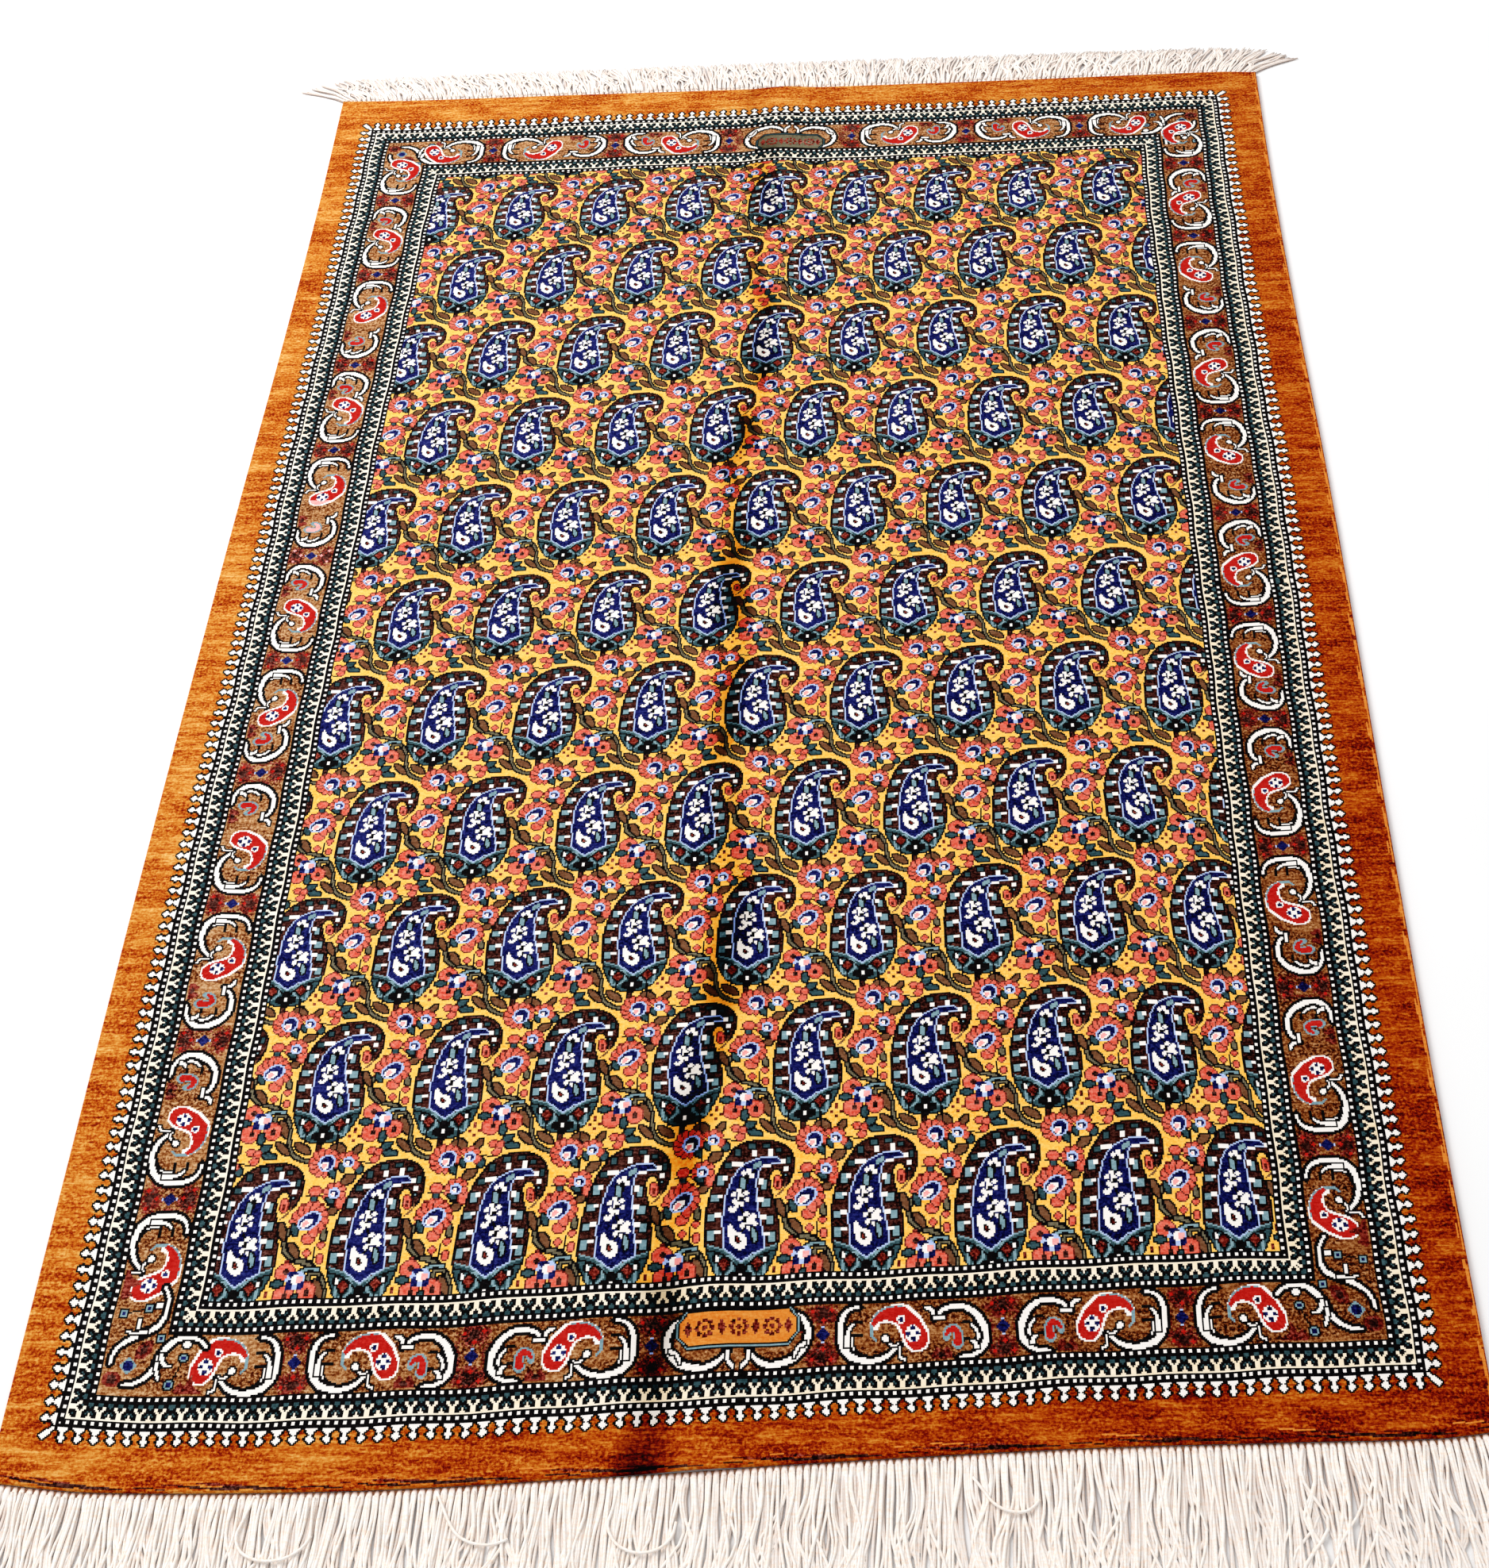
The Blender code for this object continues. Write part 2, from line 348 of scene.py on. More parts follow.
def smooth(points, closed=True, steps=SMOOTH_STEPS):
    """A flowing line through given points."""
    spots = np.asarray(points, float)
    if closed:
        spots = np.vstack([spots[-1:], spots, spots[:2]])
    else:
        spots = np.vstack([2 * spots[0] - spots[1], spots, 2 * spots[-1] - spots[-2]])
    line = []
    for index in range(1, len(spots) - 2):
        before, start, end, after = spots[index - 1 : index + 3]
        for step in range(steps):
            t = step / steps
            bend = (end - before) * t + (2 * before - 5 * start + 4 * end - after) * t**2
            line.append(start + 0.5 * (bend + (3 * start - before - 3 * end + after) * t**3))
    if not closed:
        line.append(spots[-2])
    return np.array(line)


def inside(art, origin, line):
    """The squares whose middles lie inside a closed line."""
    x, y = squares(art, origin)
    mask = np.zeros(art.shape, bool)
    for (ax, ay), (bx, by) in zip(line, np.roll(line, -1, axis=0)):
        if ay == by:
            continue
        crosses = (y < ay) != (y < by)
        mask ^= crosses & (x < ax + (y - ay) * (bx - ax) / (by - ay))
    return mask


def near(art, origin, line, start_width, end_width):
    """The squares on a line, which may narrow from its start to its end."""
    x, y = squares(art, origin)
    mask = np.zeros(art.shape, bool)
    pieces = len(line) - 1
    for index in range(pieces):
        (ax, ay), (bx, by) = line[index], line[index + 1]
        length = max((bx - ax) ** 2 + (by - ay) ** 2, 1e-9)
        t = np.clip(((x - ax) * (bx - ax) + (y - ay) * (by - ay)) / length, 0, 1)
        width = start_width + (end_width - start_width) * (index + t) / pieces
        mask |= np.hypot(x - ax - t * (bx - ax), y - ay - t * (by - ay)) < width / 2
    return mask


def rim(mask, corners=True):
    """The squares just outside a shape, with or without those that only touch its corners."""
    upright = mask.copy()
    upright[1:] |= mask[:-1]
    upright[:-1] |= mask[1:]
    wider = upright.copy()
    start = upright if corners else mask
    wider[:, 1:] |= start[:, :-1]
    wider[:, :-1] |= start[:, 1:]
    return wider & ~mask


def lay(art, mask, silk, edge=None):
    """Gives the squares of a shape one silk, and the squares round it another, boldly if it is black."""
    if edge:
        art[rim(mask, corners=edge == "black")] = CODE[edge]
    art[mask] = CODE[silk]


def shape(art, origin, points, silk, edge=None, flowing=True):
    """A closed shape through points, with flowing or straight sides."""
    line = smooth(points) if flowing else np.asarray(points, float)
    lay(art, inside(art, origin, line), silk, edge)


def stroke(art, origin, points, width, silk, edge=None, tip=None):
    """A flowing line, which may narrow or swell to its tip."""
    line = smooth(points, closed=False)
    lay(art, near(art, origin, line, width, width if tip is None else tip), silk, edge)


def turned(art, origin, x, y, turn=0):
    """Every square's place along and across a shape that is turned by an angle in degrees."""
    px, py = squares(art, (origin[0] + x, origin[1] + y))
    c, s = math.cos(math.radians(turn)), math.sin(math.radians(turn))
    return px * c + py * s, py * c - px * s


def spot(art, origin, x, y, silk, radius, high=None, turn=0, edge=None):
    """A round or oval spot."""
    u, v = turned(art, origin, x, y, turn)
    lay(art, (u / radius) ** 2 + (v / (high or radius)) ** 2 < 1, silk, edge)


def leaf(art, origin, x, y, length, width, turn, silk, edge="black"):
    """A leaf with two points."""
    u, v = turned(art, origin, x, y, turn)
    lay(art, np.abs(v) < width / 2 * (1 - (2 * u / length) ** 2), silk, edge)


def rhomb(art, origin, x, y, wide, high, silk, edge=None):
    """A diamond, from its half width and half height."""
    px, py = turned(art, origin, x, y)
    lay(art, np.abs(px) / wide + np.abs(py) / high < 1, silk, edge)


trial = paper(9, 9)
spot(trial, (0, 0), 4.5, 4.5, "navy", 2)
print("knots in a spot four knots across:", int((trial != BARE).sum()))

# %% [markdown]
# The boteh is the drop with a bent tip that fills the field. From outside in it has a black outline, a
# maroon band chequered with blue-grey squares, a pale blue line with white ticks, and a navy heart with
# white flowers; a slate cup closes its foot. It is painted once on its own paper.


# %% The boteh
BOTEH = (
    (28.5, 0), (19.5, 2.6), (13.5, 7.5), (8.5, 14.5), (5, 22), (2.5, 30), (0.8, 39), (0, 48), (0, 57),
    (1, 64.5), (3.3, 72), (7.5, 78.5), (13, 83), (21, 84.5), (29, 83), (35, 78), (39, 71.5), (41.8, 64),
    (42.8, 55), (42.2, 46), (40.3, 38.5), (38, 31.5), (36.6, 25.5), (36.3, 20.5), (38, 17.3),
    (41.2, 16.6), (44, 19), (45.5, 23), (46.8, 27), (49.6, 22.5), (51.2, 17), (50.4, 11), (47.5, 6),
    (42.5, 2.2), (36, 0.2),
)
HEART = (
    (11, 64), (10.4, 50), (10.6, 40), (11.8, 31), (14, 24), (17.5, 18.5), (22, 14), (27.5, 11),
    (34, 9.6), (40, 9.8), (43.8, 13), (38.5, 13.2), (33.5, 14), (30, 16.5), (28.6, 20), (28.4, 27),
    (29.2, 35), (30.8, 43), (32.6, 51), (33.6, 58), (33.8, 63.8), (27, 66.5), (21, 71.5), (16, 67.5),
)
CUP = ((-2, 61), (11, 65.5), (21, 73), (34, 65), (45, 61), (45, 90), (-2, 90))
CHEQUERS = (
    # x, y, width, height of the blue-grey squares in the band
    (7, 24.5, 6, 6), (4.3, 35.3, 6, 5.6), (3, 46, 6, 6), (3, 56.8, 6, 6), (11, 15.5, 6, 4.6),
    (16.5, 7.2, 5, 4), (25, 3.6, 5, 3.6), (33.6, 3.2, 5, 3.6), (41.5, 6.2, 5, 3.6), (48, 12.4, 4, 5),
    (33.6, 26.5, 4.4, 7), (35.6, 37.3, 5.4, 6), (37.8, 47.6, 5.4, 6), (39.2, 57.8, 5.4, 6),
    (46.4, 21.5, 2.4, 3),
)
TICKS = (
    # x, y, width, height of the white ticks along the pale blue line
    (9.5, 23.5, 3, 3), (7.8, 34, 3, 3), (7, 44.6, 3.4, 3), (7, 55, 3.4, 3), (16.5, 14.6, 6, 2.4),
    (26.6, 7.4, 3, 3.4), (36.2, 7, 3, 3.2), (44.8, 12.6, 2.6, 3.4), (46.6, 17.4, 3.4, 2.4),
    (34.6, 15.4, 4, 2), (31.2, 24.6, 3, 3), (32, 35.4, 3.2, 3), (34.2, 45.6, 3.4, 3),
    (36, 56, 3.4, 3),
)
print("points in the boteh's outline:", len(BOTEH))


# %% Painting the boteh, from the outside in
def blossom(art, origin, x, y, petals, reach, size, eye=(0, 0)):
    """A white flower with a dark eye."""
    for number in range(petals):
        angle = 2 * math.pi * (number + 0.3) / petals
        px, py = x + reach * math.cos(angle), y + reach * math.sin(angle)
        spot(art, origin, px, py, "white", size)
    spot(art, origin, x, y, "white", reach * 0.55)
    spot(art, origin, x + eye[0], y + eye[1], "black", 1.5)


def paint_boteh(art, at):
    """The boteh on a paper, its top left corner at a place."""
    body = inside(art, at, smooth(BOTEH))
    lay(art, body, "maroon", "black")
    for x, y, wide, high in CHEQUERS:
        px, py = turned(art, at, x, y)
        square = (np.abs(px) < wide / 2 - 0.6) & (np.abs(py) < high / 2 - 0.6)
        art[rim(square) & body] = CODE["black"]
        art[square & body] = CODE["slate" if y < 16 else "mist"]
    cup = inside(art, at, np.array(CUP)) & body
    art[cup] = CODE["slate"]
    art[rim(cup, corners=False) & body] = CODE["mist"]
    shape(art, at, HEART, "navy", "sky", flowing=False)
    for x, y, wide, high in TICKS:
        px, py = turned(art, at, x, y)
        art[(np.abs(px) < wide / 2 + 0.2) & (np.abs(py) < high / 2)] = CODE["white"]

    # The foot: leaf-shaped lines, two dark diamonds and a black flower
    for side in (-1, 1):
        leaf(art, at, 21 + side * 9.6, 74, 15, 11, 90 - side * 34, "mist", None)
        leaf(art, at, 21 + side * 9.6, 74, 11, 7, 90 - side * 34, "slate", None)
    stroke(art, at, ((1.5, 65), (9, 67.2), (16, 72), (19, 77)), 1.2, "black")
    stroke(art, at, ((42, 65), (33.5, 67.2), (26.5, 72), (23, 77)), 1.2, "black")
    for side in (-1, 1):
        x = 20.9 + side * 9.9
        rhomb(art, at, x, 72.6, 3.4, 3.6, "brick", "black")
        stroke(art, at, ((x, 77.5), (x + side * 0.4, 84)), 1.2, "black")
        spot(art, at, x + side * 4.8, 69.8, "black", 2.2, 3.4)
        spot(art, at, x + side * 4.2, 70.2, "white", 1.1, 1.9)
    for x, y in ((21, 75.8), (16.9, 79.6), (25.2, 79.6), (21, 83)):
        spot(art, at, x, y, "black", 3.3, 3)
    spot(art, at, 21, 79.4, "white", 1.3)

    # The white flowers of the heart, on a dark stem
    stroke(art, at, ((30, 14), (24, 23), (19, 36), (24, 48), (19, 58)), 1.6, "black")
    leaf(art, at, 28.4, 14.6, 7, 3.4, -38, "mist", None)
    for x, y, size in ((20.6, 20, 1.7), (23.6, 18.7, 1.9), (25.6, 21.6, 1.7)):
        spot(art, at, x, y, "white", size)
    spot(art, at, 22.6, 22.2, "black", 1.4)
    leaf(art, at, 20.4, 26, 6.5, 3.6, 78, "mist")
    blossom(art, at, 19.8, 34.2, 6, 4.2, 1.6, (0.6, 0.8))
    stroke(art, at, ((19, 38.4), (16, 41.6), (14.4, 41.4)), 2.2, "white")
    blossom(art, at, 24.8, 48, 6, 4.3, 1.7, (-2, -0.6))
    spot(art, at, 27, 47, "white", 2.2)
    shape(art, at, ((13.6, 50.4), (15, 50), (18, 54.6), (22.4, 56.2), (24.2, 60), (22, 64.2),
                    (17.6, 64), (14.4, 60.4), (13.2, 55.6)), "white")
    spot(art, at, 18.6, 59, "black", 2.4, 1.5, 42)
    spot(art, at, 19.2, 59.4, "brick", 1.2, 0.9, 42)
    leaf(art, at, 28.2, 56, 8.4, 3.2, 80, "mist")

    # The bud that hangs in the bend, and the thread at the tip
    spot(art, at, 41.8, 25.4, "coral", 2.1, 3.8, -14, "brick")
    spot(art, at, 42, 26.4, "brick", 0.9, 1.4)
    stroke(art, at, ((46.6, 27), (45.4, 30), (41.4, 33.6)), 1.1, "brown")


print("chequers:", len(CHEQUERS), "ticks:", len(TICKS))


# %% [markdown]
# Between the botehs run thin olive vines with brown leaves, coral flowers with navy and white hearts,
# buds in slate cups and small dotted sprigs. They repeat with the botehs, so they share one paper that is
# stamped once for each boteh, before the botehs themselves.


# %% Where the vines, leaves and flowers stand
VINE = ((53, 39), (49, 41), (47.3, 45), (47.6, 51), (51, 55.5), (57, 58), (64, 60), (69.5, 63.5),
        (74, 69.5), (76, 76), (77, 83), (79, 90), (84.5, 95), (91.5, 97.5), (98, 98.5))
LEAVES = (
    # x, y, length, width, turn, silk
    (44.3, 40.5, 11, 3.8, 66, "brown"), (53.6, 52.3, 12, 4.2, 55, "brown"),
    (72.3, 74.4, 13, 3.8, 62, "brown"), (73.6, 87.4, 14, 3.8, 45, "brown"),
    (86, 88, 14, 4.6, 38, "brown"), (30.5, 87.7, 9, 3.4, -38, "brown"), (70.3, 43, 8, 3.2, 80, "olive"),
    (72.6, 29, 7, 4, -28, "brown"), (78.4, 10.4, 10, 4.6, -28, "brown"), (71.6, -8.4, 9, 3.6, 52, "brown"),
    (81.4, -7.8, 8, 3.2, -52, "brown"), (84.4, 3.6, 8, 4.2, 68, "slate"),
    (62.4, 87.2, 8, 4.2, -34, "slate"), (65.6, 92.4, 10, 3.8, 8, "slate"),
)
SEPALS = (
    # x, y, length, width and turn of the slate leaves that hold the flowers
    (46.4, 71, 7.4, 3.6, 0), (58.8, 80.6, 8.4, 3.6, 90), (31.4, 105, 7.2, 3.4, 60), (51.6, 40, 7, 3.4, 58),
    (73.6, 3, 6, 2.8, 76), (69.6, 23.4, 6, 2.8, 24),
)
PETALS = (
    # x, y, half width, half height of the loose coral petals
    (59.3, 17.4, 3.6, 2.9), (73.4, -4.4, 2.1, 2.1), (77.2, -5, 2, 2.1), (80.8, -3, 2, 2.2),
    (81.8, 1.4, 2.2, 2.3), (50.4, 64.4, 5.8, 5), (51.4, 77.8, 5.9, 5.1), (65.2, 76.2, 5.2, 5),
    (53.8, 89.8, 2.4, 2.3), (58.2, 91.2, 2.3, 2.3), (56.6, 95.9, 2.4, 2.5),
    (70, 49.2, 1.7, 1.7), (62.3, 54, 1.9, 1.9), (70.5, 57.2, 2, 2), (76.8, 24, 3, 3.2),
    (61.2, 45.4, 3.6, 3),
)
ROSETTES = (
    # x, y, half width, half height, first angle, step, number and size of the petals round a heart
    (25.6, 98.2, 7, 6.2, 84, 28, 11, 2.6), (59.6, 34.6, 7.6, 6.6, 150, 27, 11, 3.1),
    (71.6, 18.6, 4.4, 4, 150, 45, 6, 2.2),
)
CROSS = ((41, 76.6), (41, 83), (37.8, 79.8), (44.2, 79.8))
print("leaves:", len(LEAVES), "loose petals:", len(PETALS), "rosettes:", len(ROSETTES))


# %% Painting the vines and flowers
def heart(art, origin, x, y, wide, high, turn):
    """The navy, white and rose heart of a coral flower."""
    spot(art, origin, x, y, "sky", wide + 1.3, high + 1.3, turn)
    spot(art, origin, x, y, "navy", wide, high, turn)
    spot(art, origin, x - 0.24 * wide, y + 0.34 * high, "white", wide * 0.66, high * 0.58, turn)
    spot(art, origin, x - 0.34 * wide, y + 0.4 * high, "rose", wide * 0.36, high * 0.34, turn)


def paint_vines(art, at):
    """The stems and the leaves, which lie under the flowers."""
    stroke(art, at, VINE, 1.5, "olive", "black")
    stroke(art, at, ((66.4, 72), (65, 67.6), (67.4, 65), (72, 66)), 1.3, "olive", "black")
    stroke(art, at, ((60, 64.4), (64.5, 62.6), (70, 63)), 1.5, "mist", "black")
    for stem in (((66.3, 50.6), (66.3, 61)), ((66.3, 56), (69, 57)), ((54.6, 20.6), (64, 20.6)),
                 ((70.6, 5), (70.2, 14)), ((46, 97), (56, 99))):
        stroke(art, at, stem, 1.1, "black")
    for x, y, length, width, turn, silk in LEAVES:
        leaf(art, at, x, y, length, width, turn, silk)
    leaf(art, at, 59.4, 22.6, 7, 2.8, 90, "slate")
    stroke(art, at, ((20, 83), (20.2, 93)), 2.0, "maroon", "black")


def paint_flowers(art, at):
    """The coral flowers, their slate leaves and their hearts."""
    for x, y, wide, high in PETALS:
        spot(art, at, x, y, "coral", wide, high, 0, "brick")
    for x, y, wide, high, first, step, petals, size in ROSETTES:
        for number in range(petals):
            angle = first + step * number
            px = x + wide * math.cos(math.radians(angle))
            py = y + high * math.sin(math.radians(angle))
            spot(art, at, px, py, "coral", size * 1.25, size * 0.85, angle, "brick")
    for x, y, length, width, turn in SEPALS:
        leaf(art, at, x, y, length, width, turn, "slate")
    heart(art, at, 59.8, 35.2, 6.2, 4.2, -36)
    heart(art, at, 26.8, 98.6, 4.0, 4.6, 20)
    heart(art, at, 71.4, 18.8, 2.6, 2.2, 0)
    heart(art, at, 77.4, -0.2, 2.6, 2.2, 0)
    spot(art, at, 57.4, 69.4, "sky", 6, 5.8)
    for x, y, wide, high in ((55.6, 65.8, 3.2, 1.9), (54, 72.2, 2.5, 2.9), (60.8, 72.4, 2.3, 2.9)):
        spot(art, at, x, y, "navy", wide, high)
    spot(art, at, 57.8, 69, "white", 3, 2.8)
    spot(art, at, 59.8, 68.8, "rose", 2.3, 2.2)
    for x, y in ((51.2, 64), (52.4, 77.2), (65.6, 76.2)):
        spot(art, at, x, y, "maroon", 1.9)
    for x, y in CROSS:
        spot(art, at, x, y, "brick", 1.3)


print("dots in a cross:", len(CROSS))

# %% [markdown]
# The field. Botehs stand in eleven rows, every other row moved by half a step, and the whole lattice
# leans a knot to the right from row to row. The rows weren't tied at quite the same height, so their
# places come from a short table.


# %% The field
ROW_TOPS = (15, 108, 206, 305, 404, 504, 601, 701, 799, 898, 998)
ROW_STRETCH = (0.96, 0.99, 1.0, 1.0, 1.0, 0.98, 1.01, 1.01, 1.01, 1.02, 1.06)
COLUMN_STEP = 75.8
ROW_LEAN = 1.08
FIRST_ODD, FIRST_EVEN = 58.0, 20.1
STAMP_WIDE, STAMP_HIGH, STAMP_AT = 140, 150, (30, 24)
ROW_BEFORE, ROW_AFTER = 95, 101


def stamp(target, art, x, y):
    """Copies the painted squares of a paper onto a larger one."""
    high, wide = art.shape
    top, left = int(round(y)), int(round(x))
    rows = slice(max(top, 0), min(top + high, target.shape[0]))
    columns = slice(max(left, 0), min(left + wide, target.shape[1]))
    if rows.start >= rows.stop or columns.start >= columns.stop:
        return
    part = art[rows.start - top : rows.stop - top, columns.start - left : columns.stop - left]
    target[rows, columns] = np.where(part == BARE, target[rows, columns], part)


def taller(art, stretch):
    """The same paper with its rows stretched a little from the stamp's origin."""
    rows = (np.arange(art.shape[0]) + 0.5 - STAMP_AT[1]) / stretch + STAMP_AT[1]
    return art[np.clip(np.floor(rows).astype(int), 0, art.shape[0] - 1)]


def paint_field():
    """The whole field, and how many stamps went into each of its three layers."""
    field = paper(GUARD_WIDE - 2 * FIELD_EDGE, GUARD_LONG - 2 * FIELD_EDGE)
    field[:] = CODE["gold"]
    papers = []
    for paint in (paint_vines, paint_flowers, paint_boteh):
        art = paper(STAMP_WIDE, STAMP_HIGH)
        paint(art, STAMP_AT)
        papers.append(art)
    places = []
    tops = [ROW_TOPS[0] - ROW_BEFORE, *ROW_TOPS, ROW_TOPS[-1] + ROW_AFTER]
    stretches = [1.0, *ROW_STRETCH, 1.0]
    for row, (top, stretch) in enumerate(zip(tops, stretches)):
        first = FIRST_ODD if row % 2 else FIRST_EVEN
        for column in range(-2, 9):
            left = first + ROW_LEAN * (row - 1) + COLUMN_STEP * column
            places.append((left - STAMP_AT[0], top - STAMP_AT[1], stretch))
    for art in papers:
        for left, top, stretch in places:
            stamp(field, taller(art, stretch), left, top)
    return field, len(places)


field, stamps = paint_field()
print("stamps in the field:", stamps)

# %% [markdown]
# The guard borders. Two guards frame the scroll border: each is a band of cream hooks between two black
# bands with white dots, 20 knots wide in all. Their small repeat is charted row by row, as a weaver would
# write it, and is laid round the rug by each knot's depth from the guard's edge and its distance from the
# nearest corner, so that the four corners match.

# %% The guards
HOOKS = (
    "SSKKKSSSKKKS",
    "SSKKKSSSKKKS",
    "SKKWWKKKWWKK",
    "KKKWWKKKWWKK",
    "KKKKWWKWWKKK",
    "KSKKKWWWKKKS",
    "WKSKKWWWKKSK",
    "WKKKKWWWKKKK",
    "WWKKKWWWKKKW",
    "CCCCCCCCCCCC",
)
SIGNS = {"K": "black", "W": "cream", "C": "cream", "S": "slate"}
HOOK_CODES = np.array([[CODE[SIGNS[sign]] for sign in row] for row in HOOKS], np.int8)
DOT_STEP, DOT_WIDE, DOT_BAND = 4.95, 2.0, 5
HOOK_STEP, HOOK_BAND = 12.2, 10


def depth_and_along(left, top, wide, high):
    """Each knot's depth inside a frame, and its distance along the side from the nearest corner."""
    ys, xs = np.mgrid[0:LONG, 0:WIDE]
    across = np.minimum(xs - left, left + wide - 1 - xs)
    down = np.minimum(ys - top, top + high - 1 - ys)
    return np.minimum(across, down), np.where(down <= across, across, down)


def paint_guard(inset, cream_outside):
    """One guard round the rug, so many knots inside the outer one."""
    depth, along = depth_and_along(
        LEFT_MARGIN + inset, FAR_MARGIN + inset, GUARD_WIDE - 2 * inset, GUARD_LONG - 2 * inset
    )
    ring = (depth >= 0) & (depth < GUARD)
    chart[ring] = CODE["black"]
    for start in (0, DOT_BAND + HOOK_BAND):
        row = depth - start
        dots = ((along - start - 1) % DOT_STEP < DOT_WIDE) & (row >= 2) & (row <= 3)
        chart[dots & (along >= start) & ring] = CODE["white"]
    row = depth - DOT_BAND
    hooks = (row >= 0) & (row < HOOK_BAND)
    row = HOOK_BAND - 1 - row if cream_outside else row
    column = ((along - DOT_BAND) % HOOK_STEP / HOOK_STEP * HOOK_CODES.shape[1]).astype(int)
    chart[hooks] = HOOK_CODES[row[hooks], column[hooks]]


print("dots along the near side of a guard:", int(GUARD_WIDE / DOT_STEP))

# %% [markdown]
# Outside the outer guard stands a row of white teeth, each a triangle with a small diamond on its point,
# in black outline. They reach into the plain rust margin, with a slanting bar at each corner. A tooth is
# given by its half width in each row of knots, and a whole number of teeth fits on each side.

# %% The teeth
TOOTH_STEP = 9.8
TOOTH_HALF_WIDTHS = (3.4, 2.8, 2.0, 1.2, 0.6, 1.1, 2.0, 2.2, 1.4, 0.6)
TOOTH_OUTLINE = 1.9
BAR_REACH, BAR_WIDTHS = 6.4, (1.6, 4.4)


def paint_teeth():
    """The teeth and the corner bars round the outer guard."""
    depth, _ = depth_and_along(LEFT_MARGIN, FAR_MARGIN, GUARD_WIDE, GUARD_LONG)
    ys, xs = np.mgrid[0:LONG, 0:WIDE]
    x, y = xs - LEFT_MARGIN, ys - FAR_MARGIN
    beside = (y >= 0) & (y < GUARD_LONG)
    above = (x >= 0) & (x < GUARD_WIDE)
    along = np.where(beside, y, x)
    step_beside = GUARD_LONG / round(GUARD_LONG / TOOTH_STEP)
    step_above = GUARD_WIDE / round(GUARD_WIDE / TOOTH_STEP)
    tooth_step = np.where(beside, step_beside, step_above)
    off_centre = np.abs((along + 0.5) % tooth_step - tooth_step / 2)
    white = np.zeros(chart.shape, bool)
    edge = white.copy()
    for step, half in enumerate(TOOTH_HALF_WIDTHS):
        here = (depth == -1 - step) & (beside | above)
        white |= here & (off_centre < half)
        edge |= here & (off_centre < half + TOOTH_OUTLINE)
    for corner_x in (0, GUARD_WIDE):
        for corner_y in (0, GUARD_LONG):
            out_x = -1 if corner_x == 0 else 1
            out_y = -1 if corner_y == 0 else 1
            tip = (corner_x + BAR_REACH * out_x, corner_y + BAR_REACH * out_y)
            bar = np.array(((corner_x + out_x, corner_y + out_y), tip), float)
            white |= near(chart, (LEFT_MARGIN, FAR_MARGIN), bar, *BAR_WIDTHS) & (depth < 0)
    edge |= rim(white) & (depth < 0)
    chart[edge] = CODE["black"]
    chart[white] = CODE["white"]


print("teeth on a long side:", round(GUARD_LONG / TOOTH_STEP))

# %% [markdown]
# The scroll border. On an ochre ground, big red botehs and small ones lie in pairs of white acanthus
# scrolls, divided by navy diamonds among dark red clouds. All four sides are one strip with its inner
# edge on top: a big half and a small half are painted once, and stamped to the left and the right of the
# diamonds, turned over where the pattern turns over. In one pair on the left the weaver ran out of red
# and went on in rose.


# %% The two halves of a border repeat
REPEAT = 105.5
HALF_PAPER = 110
RED_RING = (
    (28, 14.5), (29, 9.5), (33, 4.6), (40, 1.6), (48, 1.2), (54, 4.2), (59, 10), (62.6, 17.5), (63.4, 23),
    (61.4, 28), (57, 30.2), (52.2, 29.4), (48.2, 25.6), (46, 19.8), (44, 15), (41, 12.4), (37, 11.6),
    (33.8, 13), (32.2, 16.5),
)
RED_DROP = (
    (29.9, 13), (32.4, 8), (39.5, 4), (48, 3.8), (52.5, 6.6), (57, 12), (60.4, 19), (61, 24),
    (59, 27), (56, 28), (52.5, 27), (50.2, 23.5), (48.4, 18.4), (46.3, 13.6), (42.5, 10.5), (37.5, 9.4),
    (33, 10.6),
)
BOTEH_FLOWER = (
    # x, y, half width and half height of its four petals
    (53.4, 15.9, 1.3, 1.6), (53.6, 22.2, 1.5, 1.7), (50.6, 19.4, 1.7, 1.2), (56.2, 19.2, 1.6, 1.2),
)


def chance_of_knots(art):
    """A fixed mottling from 0 to 1, one value for each square."""
    ys, xs = np.mgrid[0 : art.shape[0], 0 : art.shape[1]]
    return (np.sin(xs * 12.9898 + ys * 78.233) * 43758.5453) % 1


def scroll(art, at, points, widest, ends):
    """An acanthus stem that swells to its middle."""
    middle = len(points) // 2
    line = smooth(points, closed=False)
    half = middle * SMOOTH_STEPS
    first = near(art, at, line[: half + 1], ends, widest)
    second = near(art, at, line[half:], widest, ends)
    stem = first | second
    art[rim(stem | rim(stem), corners=False)] = CODE["black"]
    lay(art, stem, "white", "black")


def leaflet(art, at, points, width, claw):
    """A narrow leaf along a stem, with a black claw at its tip."""
    stroke(art, at, claw, 2.2, "black")
    stroke(art, at, points, 1.2, "white", "black", width)


